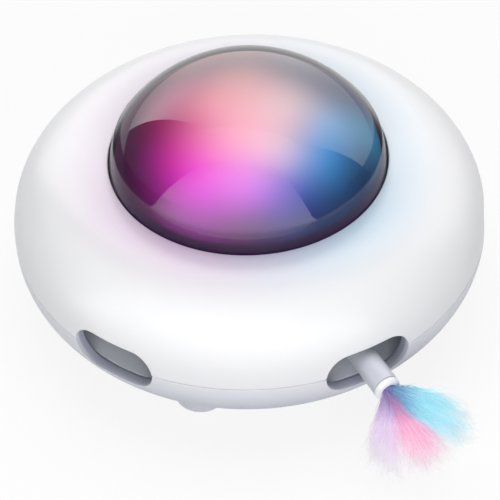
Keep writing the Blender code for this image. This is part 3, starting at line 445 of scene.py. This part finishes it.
def shell_half(name, outer, upward, look, closed_bottom=False):
    """A shell half as a grid of faces round the axis, with a ring of faces round each slot."""
    inner = inner_outline(outer, upward)
    if upward:
        inner[-1] = (dome_opening_radius, dome_seat_height - lip_thickness)
    shape = bmesh.new()
    step = 2 * math.pi / round_columns
    half = patch_columns // 2
    inside = set()
    for slot_index in range(slot_count):
        middle = slot_index * round_columns // slot_count
        for column in range(middle - half + 1, middle + half):
            for row in range(patch_rows):
                inside.add((column % round_columns, row))
    grid = {}
    for column in range(round_columns):
        for row, (outside_point, inside_point) in enumerate(zip(outer, inner)):
            if (column, row) not in inside:
                skin = shape.verts.new(on_shell(column * step, *outside_point))
                lining = shape.verts.new(on_shell(column * step, *inside_point))
                grid[column, row] = (skin, lining)
    quads = []
    for column in range(round_columns):
        after = (column + 1) % round_columns
        for row in range(len(outer) - 1):
            corners = [(column, row), (after, row), (after, row + 1), (column, row + 1)]
            full_patch = row < patch_rows and all(
                ((c % (round_columns // slot_count)) <= half
                 or (c % (round_columns // slot_count)) >= round_columns // slot_count - half)
                for c in (column, after)
            )
            if not full_patch:
                quads.append([grid[corner] for corner in corners])
    outline = half_slot_outline(upward)
    for slot_index in range(slot_count):
        middle = slot_index * round_columns // slot_count
        turn = middle * step
        border = [(half, row) for row in range(patch_rows)]
        border += [(column, patch_rows) for column in range(half, -half - 1, -1)]
        border += [(-half, row) for row in range(patch_rows - 1, -1, -1)]
        rings = []
        for ring_index in range(patch_rings):
            share = ring_index / patch_rings
            ring = []
            for (across, height), (column, row) in zip(outline, border):
                edge_angle = column * step
                near_angle = math.asin(across / side_radius(height))
                angle = near_angle * (1 - share) + edge_angle * share
                level = height * (1 - share) + outer[row][1] * share
                reach = side_radius(level)
                depth = min(reach - wall, rim_inner_radius)
                deep = math.asin(across / min(side_radius(height) - wall, rim_inner_radius))
                deep_angle = deep * (1 - share) + edge_angle * share
                ring.append((
                    shape.verts.new(on_shell(turn + angle, reach, level)),
                    shape.verts.new(on_shell(turn + deep_angle, depth, level)),
                ))
            rings.append(ring)
        rings.append([grid[(middle + column) % round_columns, row] for column, row in border])
        for first, second in zip(rings, rings[1:]):
            for index in range(len(border) - 1):
                quads.append([first[index], first[index + 1], second[index + 1], second[index]])
    for quad in quads:
        shape.faces.new([pair[0] for pair in quad])
        shape.faces.new([pair[1] for pair in reversed(quad)])
    if closed_bottom:
        last = len(outer) - 1
        for layer in (0, 1):
            shape.faces.new([grid[column, last][layer] for column in range(round_columns)])
    partner = {}
    for skin, lining in [pair for quad in quads for pair in quad]:
        partner[skin] = lining
    for edge in [edge for edge in shape.edges if len(edge.link_faces) == 1]:
        first, second = edge.verts
        if first in partner and second in partner:
            shape.faces.new((first, second, partner[second], partner[first]))
    piece = piece_from(name, shape, look, None)
    bevel = piece.modifiers.new("edges", "BEVEL")
    bevel.width = edge_rounding
    bevel.segments = 3
    bevel.limit_method = "ANGLE"
    bevel.angle_limit = math.radians(50)
    bevel.use_clamp_overlap = False
    bevel.harden_normals = False
    return settled(piece)


def settled(piece):
    """The piece with its modifiers made part of its mesh."""
    view = bpy.context.evaluated_depsgraph_get()
    mesh = bpy.data.meshes.new_from_object(piece.evaluated_get(view))
    piece.modifiers.clear()
    piece.data = mesh
    return piece


def cut(piece, *tools):
    """Hollows for other pieces, taken out of a piece."""
    for tool in tools:
        change = piece.modifiers.new("cut", "BOOLEAN")
        change.object = tool
        change.solver = "EXACT"
    settled(piece)
    for tool in tools:
        bpy.data.objects.remove(tool)
    piece.data.shade_smooth()
    piece.data.set_sharp_from_angle(angle=math.radians(40))


def around(node):
    """The middle of a CAD node, and half its size with a clearance round it."""
    low, high = (Vector(corner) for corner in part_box(node))
    return (low + high) / 2, (high - low) / 2 + Vector.Fill(3, fit_clearance)


def round_tool(node, high, look):
    """A cylinder that clears a round CAD node, from below the underside up to a height."""
    middle, half = around(node)
    profile = [(0, -underside_height), (half.x, -underside_height), (half.x, high), (0, high)]
    place = Matrix.Translation((middle.x, middle.y, 0))
    return piece_from(f"{node}_room", spun(profile, 64, place), look, None)


def port_tool(node, look):
    """A bar with round sides that clears the charging socket and runs out through the wall."""
    box_middle = around(node)[0]
    angle = math.atan2(box_middle.x, -box_middle.y)
    radius = port_height / 2 + fit_clearance
    reach = port_width / 2 - port_height / 2
    shape = bmesh.new()
    ends = []
    for depth in (port_start, body_radius):
        turns = even_steps(-math.pi / 2, math.pi / 2, 12)
        loop = [(reach + radius * math.cos(turn), radius * math.sin(turn)) for turn in turns]
        loop += [(-across, -up) for across, up in loop]
        place = Matrix.Rotation(angle, 4, "Z")
        ends.append([
            shape.verts.new(place @ Vector((across, -depth, box_middle.z + up))) for across, up in loop
        ])
    for first, second, third, fourth in zip(*ends, *([*end[1:], end[0]] for end in ends)):
        shape.faces.new((first, second, fourth, third))
    shape.faces.new(ends[0])
    shape.faces.new(ends[1][::-1])
    return piece_from("port_room", shape, look, None)


def cover_look():
    """Glossy white plastic, with the lamp's colours painted on it round the dome as painted glow and
    painted shade.
    """
    look = Look("cover_white", coat_weight=0.15, coat_roughness=0.12, specular_ior_level=0.25)
    right, back = look.along(right_hand(1)), look.along(away(1))
    reach = (right * right + back * back) ** 0.5
    near = reach.between(painted_glow_radius, painted_glow_full_radius)
    white = with_painted_slot_shade(look, (0.875, 0.878, 0.895), (0.895, 0.897, 0.905))
    side = right.between(-0.030, 0.045)
    front = back.between(0.01, -0.05)
    # Painted glow of the lamp, magenta to the left and blue to the right; it is darker than the white, so
    # it also paints shade, more so in front
    glow = look.mixed(side, (0.62, 0.47, 0.63), (0.42, 0.59, 0.72))
    painted_glow_and_shade = look.mixed(near * (front * 0.45 + 0.38), white, glow)
    look.set("Base Color", painted_glow_and_shade)
    look.set("Roughness", look.noise(240) * 0.06 + 0.30)
    look.relief(look.noise(1400), 0.000006)
    return look


def with_painted_slot_shade(look, first, second):
    """Two close shades of white, and a painted blue-grey shade where the slots cut through the wall."""
    right, back, height = look.along((1, 0, 0)), look.along((0, 1, 0)), look.along((0, 0, 1))
    reach = (right * right + back * back) ** 0.5
    level = (height - slot_middle).math("ABSOLUTE")
    high = slot_height / 2 + slot_shade_margin
    inside = reach.between(skin_radius, skin_radius - 0.0006) * level.between(high, high - 0.0004)
    # The blue-grey is painted shade on the walls of the slots
    return look.mixed(inside, look.mixed(look.noise(70, 3), first, second), (0.50, 0.53, 0.63))


def lower_look():
    """The same white with a painted shade, bluer and greyer low on its side, and that painted shade mostly
    lifted near the floor at the feet.
    """
    look = Look("lower_white", coat_weight=0.1, coat_roughness=0.2, specular_ior_level=0.25)
    height = look.along((0, 0, 1))
    low = height.between(seam_height + 0.002, 0.020)
    near_floor = height.between(0.018, 0.010)
    # Painted shade: darker and bluer low on the side, mostly taken off again near the floor
    color = look.mixed(low * (1 - 0.75 * near_floor), (0.80, 0.81, 0.85), (0.34, 0.36, 0.44))
    look.set("Base Color", with_painted_slot_shade(look, color, color))
    look.set("Roughness", look.noise(260) * 0.06 + 0.36)
    look.relief(look.noise(1400), 0.000008)
    return look


def on_lamp(right, back):
    """The point of the lamp cap that lies at a place seen from above."""
    height = ((dome_sphere - lamp_inset) ** 2 - right**2 - back**2) ** 0.5
    return Vector(right_hand(right)) + Vector(away(back)) + Vector((0, 0, dome_middle_height + height))


def glow_look():
    """The lamp's milky cap: hot magenta on one side, blue on the other, pale in the middle."""
    look = Look("lamp_glow", roughness=0.6, specular_ior_level=0.2)
    right = look.along(right_hand(1))
    glow = look.mixed(right.between(-0.010, 0.025), (0.020, 0.001, 0.018), (0.0, 0.014, 0.055))
    # Soft spots of light: the place to the right and away from the axis, the size, the colour
    spots = [
        ((-0.001, -0.023), 0.012, (0.75, 0.38, 0.44)),
        ((-0.013, -0.009), 0.009, (0.26, 0.09, 0.10)),
        ((-0.001, 0.001), 0.010, (0.31, 0.14, 0.12)),
        ((-0.026, -0.002), 0.011, (0.21, 0.00, 0.05)),
        ((0.016, -0.010), 0.010, (0.40, 0.29, 0.27)),
        ((0.031, -0.013), 0.0075, (0.00, 0.11, 0.22)),
        ((0.026, -0.027), 0.009, (0.00, 0.18, 0.43)),
        ((0.012, -0.028), 0.0075, (0.23, 0.21, 0.19)),
        ((-0.018, -0.038), 0.010, (0.40, 0.00, 0.46)),
        ((-0.022, -0.026), 0.0105, (0.43, 0.00, 0.17)),
        ((-0.001, -0.039), 0.0085, (0.31, 0.05, 0.39)),
        ((0.012, -0.040), 0.0085, (0.00, 0.03, 0.30)),
        ((-0.035, -0.021), 0.006, (0.03, 0.00, 0.05)),
        ((0.041, -0.008), 0.009, (0.01, 0.09, 0.15)),
        ((0.048, -0.004), 0.008, (0.00, 0.08, 0.12)),
        ((-0.020, 0.028), 0.010, (0.14, 0.08, 0.06)),
        ((0.000, 0.031), 0.010, (0.15, 0.10, 0.07)),
        ((0.020, 0.028), 0.010, (0.11, 0.10, 0.08)),
    ]
    for place, size, color in spots:
        distance = look.node(
            "ShaderNodeVectorMath", {0: look.place(), 1: on_lamp(*place)}, output=1, operation="DISTANCE"
        )
        strength = (distance * distance * (-1 / (2 * size * size))).math("EXPONENT")
        part = look.node("ShaderNodeVectorMath", {0: color, "Scale": strength}, operation="SCALE")
        glow = look.node("ShaderNodeVectorMath", {0: glow, 1: part}, operation="ADD")
    lit = look.along((0, 0, 1)).between(lamp_lit_above - 0.001, lamp_lit_above + 0.001)
    look.set("Emission Color", look.mixed(lit, (0.010, 0.001, 0.020), glow))
    look.set("Emission Strength", glow_strength)
    look.set("Base Color", look.mixed(look.noise(200), (0.24, 0.22, 0.25), (0.28, 0.26, 0.29)))
    return look


def smoke_look(name, cover):
    """Clear smoked plastic; where it has no cover it doesn't shine either."""
    look = Look(name, roughness=0.05, specular_ior_level=0.0, coat_roughness=0.01)
    look.set("Base Color", look.mixed(look.noise(300), (0.012, 0.002, 0.014), (0.016, 0.004, 0.018)))
    look.set("Alpha", look.noise(40) * 0.02 + cover)
    if cover:
        height, back = look.along((0, 0, 1)), look.along(away(1))
        low = dome_shoulder_height
        dull = height.between(low + 0.0050, low + 0.0042) * height.between(low - 0.0004, low)
        sides = back.between(-0.044, -0.030) * back.between(0.012, -0.004)
        behind = back.between(0.032, 0.041)
        look.set("Coat Weight", 1 - 0.8 * (dull * sides + behind))
    return look


# The two shell halves

cover_white = cover_look()
lower_white = lower_look()

cover_low = seam_height + seam_gap / 2
cover_outline = [(side_radius(z), z) for z in even_steps(cover_low, cover_patch_top, patch_rows)]
cover_outline += upper_side(cover_patch_top, 16)[1:]
cover_outline += shoulder(cover_outline[-1], 10)
cover = shell_half("cover", cover_outline, True, cover_white)
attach(cover, "base")
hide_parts("top_shell")

bowl_high = seam_height - seam_gap / 2
bowl_outline = [(side_radius(z), z) for z in even_steps(bowl_high, bowl_patch_low, patch_rows)]
bowl_outline += lower_side(bowl_patch_low, 26)[1:]
flat_radius = bowl_outline[-1][0]
bowl_outline += [(reach, underside_height) for reach in even_steps(flat_radius, bottom_disc_radius, 8)[1:]]
bowl = shell_half("bowl", bowl_outline, False, lower_white, closed_bottom=True)
screw_room_top = underside_height + screw_head_height + fit_clearance
rooms = [round_tool("power_button", underside_height + 2 * wall, lower_white)]
for index in range(screw_count):
    rooms.append(round_tool(f"case_screw_{index + 1}", screw_room_top, lower_white))
cut(bowl, port_tool("usb_port", lower_white), *rooms)
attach(bowl, "base")
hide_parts("bottom_shell")

# The dome

flange = [(flange_radius, flange_low), (flange_radius, flange_high), (dome_base_radius, flange_high)]
flange += [(dome_base_radius, dome_seat_height)]
cap_top = dome_arc(dome_shoulder_radius, 0, 40)
inner_cap = dome_arc(dome_shoulder_radius * (1 - dome_wall / dome_sphere), dome_wall, 12)
dome_profile = rounded(flange + cap_top, len(flange), dome_edge_rounding)
dome_profile += inner_cap[::-1] + [(dome_base_radius - dome_wall, dome_seat_height)]
dome_profile += [(dome_base_radius - dome_wall, flange_low)]
dome = piece_from("dome", spun(dome_profile, 256), smoke_look("smoked_dome", smoke_cover), "base")
dome.data.materials.append(smoke_look("smoked_dome_inside", 0.0).material)
dome_middle = Vector((0, 0, dome_seat_height))
for face in dome.data.polygons:
    if face.normal.dot(face.center - dome_middle) < 0:
        face.material_index = 1
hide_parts("dome_lens")

lamp_edge = dome_shoulder_radius * (1 - lamp_inset / dome_sphere)
lamp_profile = [(lamp_radius - lamp_wall, lamp_low), (lamp_radius, lamp_low)]
lamp_profile += [(lamp_radius, dome_seat_height)] + dome_arc(lamp_edge, lamp_inset, 24)
lamp_profile += dome_arc(lamp_edge - lamp_wall, lamp_inset + lamp_wall, 12)[::-1]
lamp_profile += [(lamp_radius - lamp_wall, dome_seat_height)]
glow = piece_from("lamp_cap", spun(lamp_profile, 160), glow_look(), "base")
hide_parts("light_diffuser")

# The wand's tube and its end

towards_wand = Vector((0, -1, 0)).to_track_quat("Z", "Y").to_matrix().to_4x4()
tube_look = plain_look("wand_white", (0.58, 0.60, 0.67), 0.34, grain=500, unevenness=0.03)
length = wand_end - wand_start
tube_profile = [(wand_bore_radius, 0), (wand_radius, 0), (wand_radius, length), (wand_bore_radius, length)]
tube_profile = rounded(tube_profile, 2, wand_edge_rounding)
place = Matrix.Translation((0, -wand_start, wand_height)) @ towards_wand
tube = piece_from("tube", spun(tube_profile, 96, place), tube_look, "wand")
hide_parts("wand_tube")

cap_look = plain_look("cap_white", (0.90, 0.90, 0.93), 0.30, grain=500, unevenness=0.02)
head = plug_end - wand_end - fit_clearance
floor_of_socket = head - feather_socket_depth
cap_profile = [(0, -plug_stem_length), (plug_stem_radius, -plug_stem_length)]
cap_profile += [(plug_stem_radius, fit_clearance), (wand_radius, fit_clearance), (wand_radius, head)]
cap_profile += [(feather_socket_edge_radius, head + feather_socket_rise)]
cap_profile += [(feather_socket_radius, floor_of_socket), (0, floor_of_socket)]
cap_profile = rounded(cap_profile, 4, plug_edge_rounding, 8)
cap_profile = rounded(cap_profile, len(cap_profile) - 3, feather_socket_rounding, 4)
place = Matrix.Translation((0, -wand_end, wand_height)) @ towards_wand
plug = piece_from("plug", spun(cap_profile, 96, place), cap_look, "wand")
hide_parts("feather_plug")

# The feet

foot_look = plain_look("foot_rubber_look", (0.80, 0.81, 0.84), 0.65, grain=1500, unevenness=0.06)
foot_names = ("front_right", "rear_right", "rear_left", "front_left")
for index, name in enumerate(foot_names):
    angle = math.radians(45 + 90 * index)
    spot = on_shell(angle, foot_circle_radius, 0)
    boss = [(0, foot_pocket_top), (foot_pocket_radius, foot_pocket_top)]
    boss += [(foot_pocket_radius, foot_boss_low), (foot_boss_radius, foot_boss_low)]
    boss += [(foot_boss_radius, foot_boss_high), (0, foot_boss_high)]
    boss = rounded(boss, 3, foot_boss_edge_rounding, 4)
    piece = piece_from(f"boss_{name}", spun(boss, 64, Matrix.Translation(spot)), lower_white, "base")
    foot = [(0, 0), (foot_radius, 0), (foot_radius, foot_thickness), (0, foot_thickness)]
    foot = rounded(foot, 1, foot_edge_rounding, 5)
    piece = piece_from(f"foot_{name}", spun(foot, 64, Matrix.Translation(spot)), foot_look, "base")
    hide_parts(f"rubber_foot_{name}")

# The feathers: fine curved hairs in clumps, from one root at the end of the wand


def feather_look():
    look = Look("feather_down", roughness=0.75, specular_ior_level=0.15)
    tint = look.node("ShaderNodeAttribute", output=0, attribute_name="tint")
    look.set("Base Color", tint)
    # The hairs also glow in their own tint: painted light that brightens them
    look.set("Emission Color", tint)
    look.set("Emission Strength", 0.24)
    return look


def curve(start, middle, end, t):
    return (1 - t) ** 2 * start + 2 * t * (1 - t) * middle + t**2 * end


def feather(name, node, tips, colors, seed, look):
    """A tuft: fine tapering three-sided hairs that leave a few curved quills and bend outwards."""
    random = np.random.default_rng(seed)
    root = np.array([0.0, -plug_end + 0.0012, wand_height])
    lift = np.array([0.0, -0.0030, 0.0035])
    tips = np.array(tips)
    quills = random.dirichlet(np.full(len(tips), 0.45), quill_count) @ tips
    quills += random.normal(0, 0.0012, quills.shape)
    bends = random.normal(0, 0.0025, quills.shape)
    points, faces, tints = [], [], []
    for strand in range(hair_count):
        quill = random.integers(quill_count)
        end = quills[quill]
        bend = (root + end) / 2 + lift + bends[quill]
        leaves = 0.5 * random.random() ** 1.6
        start = curve(root, bend, end, leaves) + random.normal(0, 1, 3) * (0.0010, 0.0003, 0.0010)
        reach = random.uniform(0.45, 1.0) ** 0.6
        tip = start + (end - start) * reach + random.normal(0, 0.0030, 3) * (0.35 + leaves)
        middle = (start + tip) / 2 + (bend - (root + end) / 2) * (1 - leaves) + random.normal(0, 0.0009, 3)
        t = np.linspace(0, 1, hair_steps)[:, None]
        path = curve(start, middle, tip, t)
        path += random.normal(0, 0.0014, 3) * np.sin(t * math.pi * 2.2) * t
        path[:, 2] = np.maximum(path[:, 2], 0.0012)
        along = np.gradient(path, axis=0)
        along /= np.linalg.norm(along, axis=1)[:, None]
        side = np.cross(along, random.normal(0, 1, 3))
        side /= np.maximum(np.linalg.norm(side, axis=1)[:, None], 1e-9)
        up = np.cross(along, side)
        thick = hair_radius * random.uniform(0.7, 1.25) * (1.0 - 0.72 * t**1.5)
        first = len(points)
        shade = random.uniform(0.86, 1.08)
        pick = random.random()
        base = colors[0] * (1 - pick) + colors[1] * pick
        for step in range(hair_steps):
            share = step / (hair_steps - 1)
            from_root = np.linalg.norm(path[step] - root) / np.linalg.norm(end - root)
            fade = min(1.0, from_root / 0.42)
            color = colors[2] * (1 - fade) + base * fade
            whiten = max(0.0, share - 0.40) * 1.25
            color = np.minimum((color * (1 - whiten) + 0.97 * whiten) * shade, 1.0)
            for corner in range(3):
                angle = 2 * math.pi * corner / 3
                offset = math.cos(angle) * side[step] + math.sin(angle) * up[step]
                points.append(path[step] + offset * thick[step])
                tints.append(color)
        for step in range(hair_steps - 1):
            for corner in range(3):
                after = (corner + 1) % 3
                a = first + step * 3
                faces.append((a + corner, a + after, a + 3 + after, a + 3 + corner))
        faces.append((first + 2, first + 1, first))
        last = first + (hair_steps - 1) * 3
        faces.append((last, last + 1, last + 2))
    mesh = bpy.data.meshes.new(name)
    points = np.array(points)
    mesh.from_pydata(points.tolist(), [], faces)
    attribute = mesh.attributes.new("tint", "FLOAT_COLOR", "POINT")
    rgba = np.ones((len(points), 4), np.float32)
    rgba[:, :3] = np.array(tints)
    attribute.data.foreach_set("color", rgba.ravel())
    mesh.shade_smooth()
    mesh.materials.append(look.material)
    piece = bpy.data.objects.new(name, mesh)
    bpy.context.scene.collection.objects.link(piece)
    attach(piece, "wand")
    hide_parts(node)
    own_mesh(piece)


down = feather_look()
feather("tuft_blue", "feather_blue",
        [(0.0225, -0.1305, 0.0290), (0.0235, -0.1190, 0.0345), (0.0200, -0.1300, 0.0340),
         (0.0175, -0.1300, 0.0215)],
        np.array([(0.30, 0.76, 0.90), (0.62, 0.90, 0.96), (0.14, 0.24, 0.52)]), 11, down)
feather("tuft_pink", "feather_pink",
        [(0.0140, -0.1300, 0.0190), (0.0095, -0.1270, 0.0110), (0.0045, -0.1240, 0.0050),
         (0.0050, -0.1210, 0.0150)],
        np.array([(1.00, 0.45, 0.68), (1.00, 0.72, 0.86), (0.28, 0.12, 0.42)]), 12, down)
feather("tuft_lilac", "feather_lilac",
        [(-0.0005, -0.1190, 0.0030), (-0.0050, -0.1135, 0.0030), (-0.0085, -0.1120, 0.0120),
         (-0.0095, -0.1110, 0.0210)],
        np.array([(0.76, 0.68, 0.90), (0.97, 0.80, 0.92), (0.30, 0.20, 0.50)]), 13, down)

# The other CAD nodes keep their shapes and get their own finishes

finishes = {
    "dome_gasket": ("gasket_look", (0.20, 0.20, 0.22), 0.75, 0),
    "light_deck": ("deck_look", (0.70, 0.70, 0.74), 0.5, 0),
    "led_board": ("led_board_look", (0.04, 0.20, 0.10), 0.45, 0),
    "centre_post": ("post_look", (0.70, 0.71, 0.74), 0.45, 0),
    "thrust_washer": ("washer_look", (0.88, 0.84, 0.70), 0.35, 0),
    "retaining_clip": ("clip_look", (0.55, 0.55, 0.57), 0.3, 1),
    "turntable": ("turntable_look", (0.89, 0.93, 1.0), 0.48, 0),
    "turntable_gear": ("gear_look", (0.82, 0.80, 0.72), 0.4, 0),
    "drive_pinion": ("gear_look", (0.82, 0.80, 0.72), 0.4, 0),
    "wand_pinion": ("gear_look", (0.82, 0.80, 0.72), 0.4, 0),
    "wand_rack": ("gear_look", (0.82, 0.80, 0.72), 0.4, 0),
    "slip_ring_board": ("led_board_look", (0.04, 0.20, 0.10), 0.45, 0),
    "main_board": ("led_board_look", (0.04, 0.20, 0.10), 0.45, 0),
    "port_board": ("led_board_look", (0.04, 0.20, 0.10), 0.45, 0),
    "battery_cell": ("cell_look", (0.12, 0.28, 0.55), 0.35, 0),
    "battery_tray": ("tray_look", (0.06, 0.06, 0.065), 0.5, 0),
    "power_button": ("button_look", (0.82, 0.83, 0.87), 0.38, 0),
    "inner_brush": ("brush_look", (0.80, 0.60, 0.28), 0.35, 1),
    "outer_brush": ("brush_look", (0.80, 0.60, 0.28), 0.35, 1),
    "led_lead": ("lead_white_look", (0.80, 0.80, 0.80), 0.5, 0),
    "battery_lead": ("lead_red_look", (0.60, 0.04, 0.04), 0.5, 0),
    "front_guide": ("guide_look", (0.20, 0.21, 0.24), 0.5, 0),
    "rear_guide": ("guide_look", (0.20, 0.21, 0.24), 0.5, 0),
    "wand_carriage": ("guide_look", (0.20, 0.21, 0.24), 0.5, 0),
    "brush_block": ("guide_look", (0.20, 0.21, 0.24), 0.5, 0),
    "tact_switch": ("guide_look", (0.20, 0.21, 0.24), 0.5, 0),
}
steel = ("steel_look", (0.62, 0.63, 0.65), 0.3, 1)
looks = {}
for name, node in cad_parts.items():
    if node.hide_render:
        continue
    finish = finishes.get(name, steel)
    if finish[0] not in looks:
        looks[finish[0]] = plain_look(*finish)
    for index in range(max(1, len(node.material_slots))):
        if not node.material_slots:
            node.data.materials.append(looks[finish[0]].material)
        else:
            node.material_slots[index].material = looks[finish[0]].material

# Floor, light and camera


def staged_panel(name, corners, material):
    mesh = bpy.data.meshes.new(name)
    mesh.from_pydata(corners, [], [tuple(range(len(corners)))])
    mesh.materials.append(material)
    panel = bpy.data.objects.new(name, mesh)
    bpy.context.scene.collection.objects.link(panel)
    return panel


def seen_directly(look):
    """1 for rays from the camera, a mirror or glass, and 0 for the light that a surface sends on."""
    path = look.tree.nodes.new("ShaderNodeLightPath")
    camera, glossy, through = (
        Value(look, path.outputs[f"Is {kind} Ray"]) for kind in ("Camera", "Glossy", "Transmission")
    )
    return camera.math("MAXIMUM", glossy).math("MAXIMUM", through)


floor_look = Look("pale_floor", roughness=0.9, specular_ior_level=0.0)
floor_shade = floor_look.mixed(floor_look.noise(3), (0.93, 0.93, 0.935), (0.95, 0.95, 0.955))
seen = seen_directly(floor_look)
floor_look.set("Base Color", floor_look.mixed(seen, (0.62, 0.63, 0.66), floor_shade))
white = floor_look.tree.nodes.new("ShaderNodeEmission")
white.inputs["Color"].default_value = (1, 1, 1, 1)
white.inputs["Strength"].default_value = 1.0
mixer = floor_look.tree.nodes.new("ShaderNodeMixShader")
floor_look.put(mixer.inputs[0], seen * 0.86)
floor_look.tree.links.new(floor_look.shader.outputs[0], mixer.inputs[1])
floor_look.tree.links.new(white.outputs[0], mixer.inputs[2])
floor_output = floor_look.tree.nodes["Material Output"]
floor_look.tree.links.new(mixer.outputs[0], floor_output.inputs["Surface"])
wide = 3.0
floor_corners = [(-wide, -wide, 0), (wide, -wide, 0), (wide, wide, 0), (-wide, wide, 0)]
staged_panel("floor", floor_corners, floor_look.material)


def softbox(name, bright, corners, middle=(0, 0, 0.095)):
    """A lit sheet seen only in reflections; each corner is (azimuth from away, elevation, distance)."""
    look = Look(name, roughness=1.0)
    top = max(distance * math.sin(math.radians(rise)) for azimuth, rise, distance in corners)
    height = look.along((0, 0, 1))
    fade = height.between(top * 0.98, top * 0.2) * (0.3 + 0.7 * height.between(-0.05, top * 0.35))
    fade = fade * (1 - 0.5 * look.along(right_hand(1)).between(0.1, 1.3))
    look.set("Base Color", (0, 0, 0))
    look.set("Emission Color", look.mixed(fade, (0, 0, 0), (1.0, 0.98, 1.0)))
    look.set("Emission Strength", bright)
    points = []
    for azimuth, rise, distance in corners:
        turn, lift = math.radians(azimuth), math.radians(rise)
        level = distance * math.cos(lift)
        point = Vector(right_hand(level * math.sin(turn))) + Vector(away(level * math.cos(turn)))
        points.append(point + Vector(middle) + Vector((0, 0, distance * math.sin(lift))))
    sheet = staged_panel(name, points, look.material)
    sheet.visible_camera = False
    sheet.visible_diffuse = False
    sheet.visible_shadow = False
    sheet.visible_transmission = False


softbox("back_softbox", 4.6, [(-48, -3, 1.2), (-67, 62, 1.6), (91, 54, 1.6), (76, -3, 1.2)])
softbox("front_softbox", 4.0, [(-105, -13, 0.42), (-120, 60, 0.6), (140, 60, 0.6), (133, -13, 0.42)])

world = bpy.data.worlds.new("studio")
bpy.context.scene.world = world
world.use_nodes = True
background = world.node_tree.nodes["Background"]
background.inputs["Color"].default_value = (1, 1, 1, 1)
world_path = world.node_tree.nodes.new("ShaderNodeLightPath")
world_strength = world.node_tree.nodes.new("ShaderNodeMapRange")
world_strength.inputs["To Min"].default_value = 0.20
world.node_tree.links.new(world_path.outputs["Is Camera Ray"], world_strength.inputs["Value"])
world.node_tree.links.new(world_strength.outputs["Result"], background.inputs["Strength"])


def area_light(name, place, size, power):
    """A large soft lamp that isn't mirrored; its place is (right, away, height), aimed at the toy."""
    data = bpy.data.lights.new(name, "AREA")
    data.shape = "RECTANGLE"
    data.size, data.size_y = size
    data.energy = power
    lamp = bpy.data.objects.new(name, data)
    bpy.context.scene.collection.objects.link(lamp)
    lamp.location = Vector(right_hand(place[0])) + Vector(away(place[1])) + Vector((0, 0, place[2]))
    towards = Vector((0, 0, 0.05)) - lamp.location
    lamp.rotation_euler = towards.to_track_quat("-Z", "Y").to_euler()
    lamp.visible_glossy = False
    lamp.visible_camera = False


area_light("top", (0, 0.20, 1.30), (1.2, 1.2), 12.4)
area_light("front", (0, -1.10, 0.42), (1.4, 0.7), 7.9)

camera_data = bpy.data.cameras.new("camera")
camera = bpy.data.objects.new("camera", camera_data)
bpy.context.scene.collection.objects.link(camera)
distance, elevation, roll = 0.570, math.radians(44.68), math.radians(-1.68)
back = Vector((-0.4446, -0.8957, 0)) * math.cos(elevation) + Vector((0, 0, math.sin(elevation)))
camera.location = Vector((0, 0, widest_height)) + back * distance
aim = (-back).to_track_quat("-Z", "Y")
camera.rotation_mode = "QUATERNION"
camera.rotation_quaternion = aim @ Matrix.Rotation(roll, 3, "Z").to_quaternion()
camera_data.sensor_width = 36.0
camera_data.lens = 100.6
camera_data.shift_x = 0.0008
camera_data.shift_y = -0.0786
bpy.context.scene.camera = camera
bpy.context.scene.view_settings.view_transform = "Standard"
